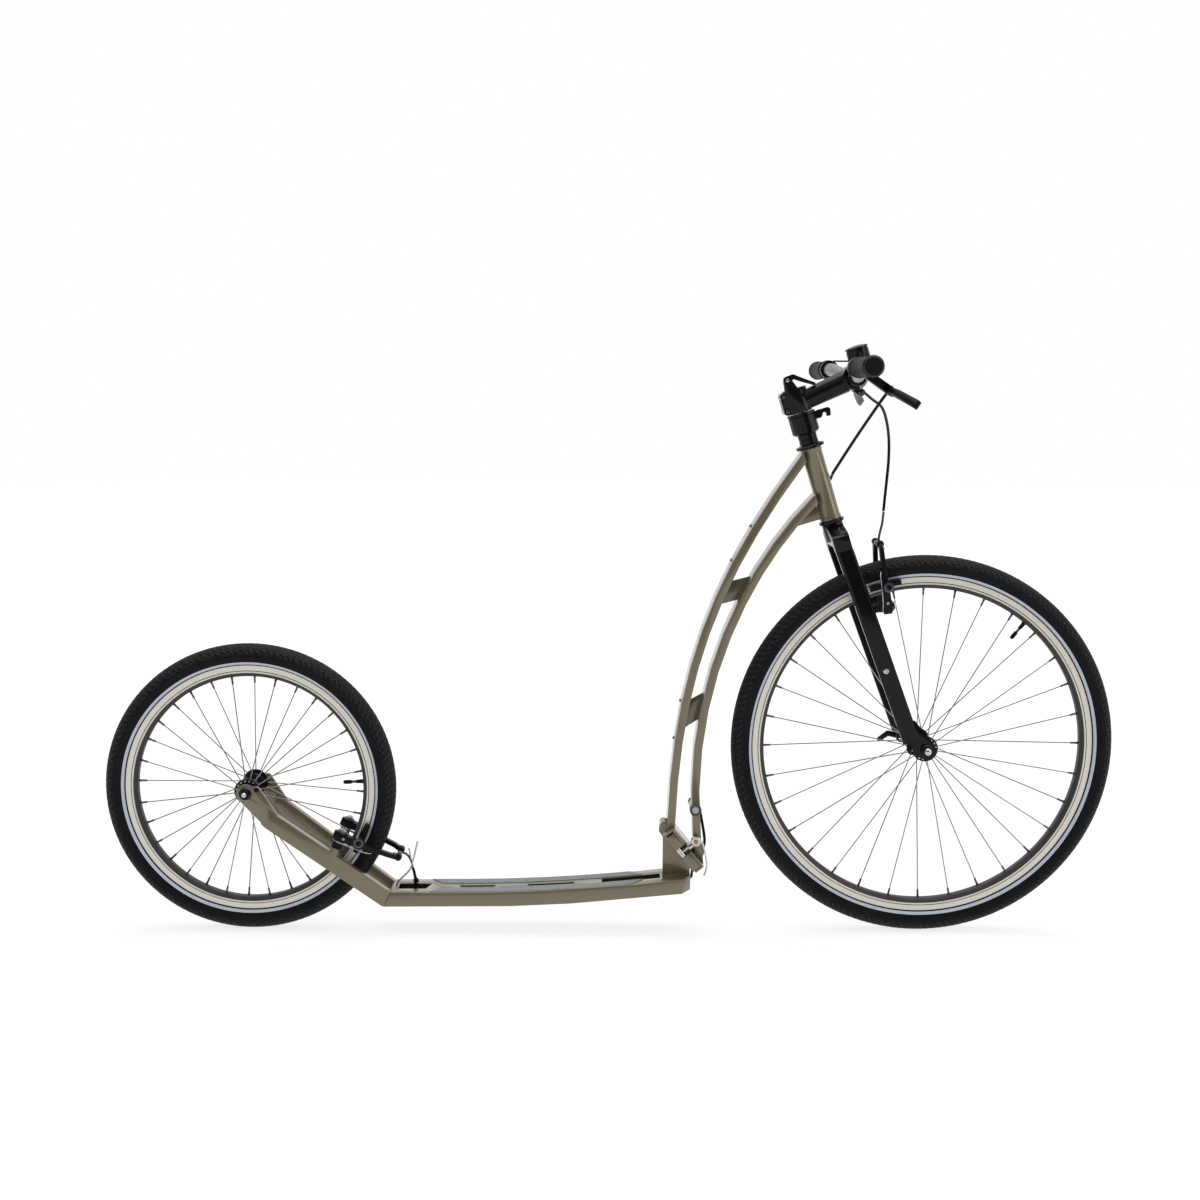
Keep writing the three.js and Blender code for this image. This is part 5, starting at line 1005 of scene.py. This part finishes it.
REAR_CABLE_AT_FOLD = [
    (191.6, 31, 213.4), (198.4, 28.5, 181.3), (203.6, 28, 148), (201.5, 38, 128), (192.5, 43, 112),
    (185.5, 38, 99), (182.5, 24, 91), (180.5, 12, 87), (177.4, 8, 85.8),
]
REAR_CABLE_AT_BRAKE = [(-292, 12, 58), (-290.5, 12, 78), (-292.5, 12, 92), (-294.8, 12, 99.9)]
CABLE_RADIUS = 2.5


def cable(name, route, node, bodies, start=None, end=None):
    points = smoothed([place(*point) for point in route], 4)
    made = cord_mesh(name, cable_skin, points, CABLE_RADIUS)
    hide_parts(node)
    length = sum((after - before).length for before, after in zip(points, points[1:]))
    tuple(points[0])
    if len(bodies) == 2:
        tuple(start or points[0])
        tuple(end or points[-1])
        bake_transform(made)
    else:
        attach(made, bodies[0])


cable("front_brake_housing", FRONT_CABLE, "front_brake_cable", ("column", "steering"))
cable("rear_housing_from_lever", REAR_CABLE_FROM_LEVER, "rear_cable_from_lever", ("column", "steering"))
cable(
    "rear_housing_along_frame", REAR_CABLE_ALONG_FRAME, "rear_cable_along_frame", ("steering", "front_frame"),
    place(*REAR_CABLE_ALONG_FRAME[1]), place(*REAR_CABLE_ALONG_FRAME[6]),
)
cable("rear_housing_at_fold", REAR_CABLE_AT_FOLD, "rear_cable_at_fold", ("front_frame", "chassis"))
cable("rear_housing_at_brake", REAR_CABLE_AT_BRAKE, "rear_cable_at_brake", ("chassis",))

# Two bent wires that stand up from the deck behind the rear brake, one with a black boot
WIRE_ROUTES = {
    "deck_guide_wire": [
        (-321, 0, 72), (-320.5, 0, 76.8), (-309, 0, 89.5), (-299.4, 0, 100), (-293.4, 0, 116), (-285, 0, 150),
    ],
    "deck_guide_foot": [
        (-289.9, 15, 72), (-289.9, 15, 79), (-292.4, 15, 90), (-295.1, 15, 100.4), (-301.5, 15, 134),
    ],
}
for name, route in WIRE_ROUTES.items():
    kept(cord_mesh(name, steel, [place(*point) for point in route], 1.5, 10), "chassis")
boot = [[4, -3], [4.6, -2], [4.6, 2], [2.6, 5], [2.2, 13]]
boot_up = Vector((-0.2, 0, 1))
kept(disc_stack("deck_guide_boot", soft_rubber, boot, place(-289.9, 15, 77), boot_up, 24), "chassis")


# Weld beads, laid where a line from beside a plate meets the piece that carries it
def surface_of(node):
    """A CAD node's faces, to be met by rays."""
    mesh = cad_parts[node].data
    corners = [vertex.co.copy() for vertex in mesh.vertices]
    return BVHTree.FromPolygons(corners, [tuple(face.vertices) for face in mesh.polygons])


RIPPLE_HEIGHT = 0.22
RIPPLE_TURN = 2.1


def weld(name, points, body, radius):
    """A bead with its ripples: a tube along the points whose rings swell and shrink."""
    if len(points) < 3:
        return
    bead = cord_mesh(name, frame_paint, smoothed(points, 4), radius, 8)
    start, run = points[0], (points[-1] - points[0]).length
    for vertex in bead.data.vertices:
        travel = (vertex.co - start).length
        swell = RIPPLE_HEIGHT * math.sin(travel / MM * RIPPLE_TURN) * min(1, 8 * travel / run)
        vertex.co += vertex.normal * swell * MM
    kept(bead, body)


deck_surface = surface_of("deck_beam")
DOWN = Vector((0, 0, -1))


def deck_top(x, y):
    spot_met = deck_surface.ray_cast(Vector((x, y, 0.5)), DOWN)[0]
    return spot_met.z if spot_met else 0.0


# Sheets of painted shade under the deck's two thin slots, in metres, so that the slots read dark inside. A slot
# runs where the deck's middle lies below what is beside it
SCAN_STEP = 0.001
IN_SLOT = 0.0003
SLOT_WALL = 0.0037
BESIDE_SLOT = 0.009
SLOT_DEPTH = 0.002
SLOT_LENGTH = 0.03
DECK_HEIGHT = 0.03
SHADE_SHEET_END = 0.0005
SHADE_SHEET_DROP = 0.0017
SHADE_SHEET_STEPS = 8
deck_low, deck_high = box_of("deck_beam")
runs, reach = [], deck_low.x
while reach < deck_high.x:
    beside = deck_top(reach, BESIDE_SLOT)
    if deck_top(reach, IN_SLOT) < beside - SLOT_DEPTH and beside > DECK_HEIGHT:
        if runs and reach - runs[-1][1] < SCAN_STEP * 2.5:
            runs[-1][1] = reach
        else:
            runs.append([reach, reach])
    reach += SCAN_STEP
for count, (start_x, end_x) in enumerate(run for run in runs if run[1] - run[0] > SLOT_LENGTH):
    for side, sign in SIDES:
        stations = []
        for step in range(SHADE_SHEET_STEPS + 1):
            x = start_x + SHADE_SHEET_END + (end_x - start_x - 2 * SHADE_SHEET_END) * step / SHADE_SHEET_STEPS
            z = deck_top(x, sign * BESIDE_SLOT) - SHADE_SHEET_DROP
            stations.append(Vector((x, sign * SLOT_WALL, z)))
        # Each sheet is painted shade, so that the slot reads dark inside
        shade_sheet = strap(f"slot_shade_sheet_{count}_{side}", painted_slot_shade, stations, (0, 0, 1), [2.8, 2.8], 0.5, 0.1)
        kept(shade_sheet, "chassis")

# The beads beside the hinge's web and beside both ends of each gusset, in metres
WEB_SIDE = 0.0062
WEB_START = 0.002
WEB_LENGTH = 0.058
WEB_STEPS = 11
GUSSET_SIDE = 0.0024
GUSSET_STEPS = 14
GUSSET_GAP = 0.006
INSIDE_EDGE = 0.004
hinge_low, hinge_high = box_of("deck_hinge")
for side, sign in SIDES:
    line = []
    for step in range(WEB_STEPS + 1):
        x = hinge_low.x + WEB_START + WEB_LENGTH * step / WEB_STEPS
        spot_met = deck_surface.ray_cast(Vector((x, sign * WEB_SIDE, hinge_high.z)), DOWN)[0]
        if spot_met is not None:
            line.append(spot_met)
    weld("web_weld_" + side, line, "chassis", 1.5)
for node in GUSSET_SLANTS:
    low, high = box_of(node)
    plate = surface_of(node)
    for arch, direction in (("rear_arch", -1), ("front_arch", 1)):
        carrier = surface_of(arch)
        ahead = Vector((direction, 0, 0))
        for side, sign in SIDES:
            line = []
            for step in range(GUSSET_STEPS):
                z = low.z + (high.z - low.z) * (step + 0.5) / GUSSET_STEPS
                outside = Vector(((low.x + high.x) / 2 + direction * 0.3, 0, z))
                edge = plate.ray_cast(outside, -ahead)[0]
                if edge is None:
                    continue
                inside = Vector((edge.x - direction * INSIDE_EDGE, sign * GUSSET_SIDE, z))
                spot_met = carrier.ray_cast(inside, ahead)[0]
                if spot_met is not None and abs(spot_met.x - edge.x) < GUSSET_GAP:
                    line.append(slanted(spot_met, node))
            weld(f"{node}_weld_{arch}_{side}", line, "front_frame", 1.3)

# Finishes of the CAD nodes that stay
node_finish = {
    "grip_band_left": grip_tape,
    "grip_band_right": grip_tape,
    "fold_pin": frame_paint,
    "height_collar": black_paint,
    "sliding_post": steel,
    "front_noodle": dark_steel,
    "rear_noodle": dark_steel,
}
for node, material in node_finish.items():
    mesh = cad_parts[node].data
    mesh.materials.clear()
    mesh.materials.append(material)

# Floor, lamps and surroundings
bpy.ops.mesh.primitive_circle_add(vertices=96, radius=14, fill_type="NGON", location=(0, 0, -0.0008))
floor_paint = Finish("floor", None, (0.9, 0.9, 0.9), 0.8)
floor = named("floor", floor_paint.material)
spot = floor_paint.coordinates()
x, y, z = floor_paint.split(spot)
far = (x * x * 0.35 + y * y).maths("SQRT").above(1.0, 1.2)
glow = floor_paint.node("Emission", Strength=1.1)
glow.inputs["Color"].default_value = (1, 1, 1, 1)
mixer = floor_paint.node("MixShader")
for slot, item in enumerate(((far * 0.3 + 0.7).limited(), floor_paint.shader.outputs[0], glow.outputs[0])):
    feed(floor_paint.tree, mixer.inputs[slot], item)
output = floor_paint.tree.nodes["Material Output"]
feed(floor_paint.tree, output.inputs["Surface"], mixer.outputs[0])


def softbox(name, location, target, size, power, glossy=True):
    data = bpy.data.lights.new(name, "AREA")
    data.shape = "RECTANGLE"
    data.size, data.size_y = size
    data.energy = power
    lamp = linked(name, data)
    lamp.location = location
    lamp.rotation_euler = (Vector(target) - Vector(location)).to_track_quat("-Z", "Y").to_euler()
    lamp.visible_glossy = glossy


softbox("top_box", (0.1, 0.35, 2.9), (0, 0, 0.4), (3.4, 1.8), 62)
softbox("front_box", (-1.4, -2.9, 1.9), (0, 0, 0.4), (1.8, 1.4), 30, False)
softbox("side_box", (2.6, -1.2, 1.4), (0.3, 0, 0.5), (1.2, 1.6), 16)

world = bpy.data.worlds.new("studio")
bpy.context.scene.world = world
world.use_nodes = True
tree = world.node_tree
tree.nodes.clear()
path = tree.nodes.new("ShaderNodeLightPath")
direction = tree.nodes.new("ShaderNodeTexCoord")
parts = tree.nodes.new("ShaderNodeSeparateXYZ")
tree.links.new(direction.outputs["Generated"], parts.inputs[0])
across = Value(tree, parts.outputs[1])
upward = Value(tree, parts.outputs[2])
behind = (across * 0.7 + upward * 0.75).above(0.05, 0.9)
mirror = behind * 0.9 + 0.06
camera_ray = Value(tree, path.outputs["Is Camera Ray"])
glossy_ray = Value(tree, path.outputs["Is Glossy Ray"])
DIFFUSE_LIGHT = 0.42
diffuse = (1 - camera_ray) * (1 - glossy_ray) * DIFFUSE_LIGHT
strength = camera_ray.maths("MAXIMUM", glossy_ray * mirror).maths("MAXIMUM", diffuse)
background = tree.nodes.new("ShaderNodeBackground")
background.inputs["Color"].default_value = (1, 1, 1, 1)
tree.links.new(strength.socket, background.inputs["Strength"])
world_output = tree.nodes.new("ShaderNodeOutputWorld")
tree.links.new(background.outputs[0], world_output.inputs["Surface"])
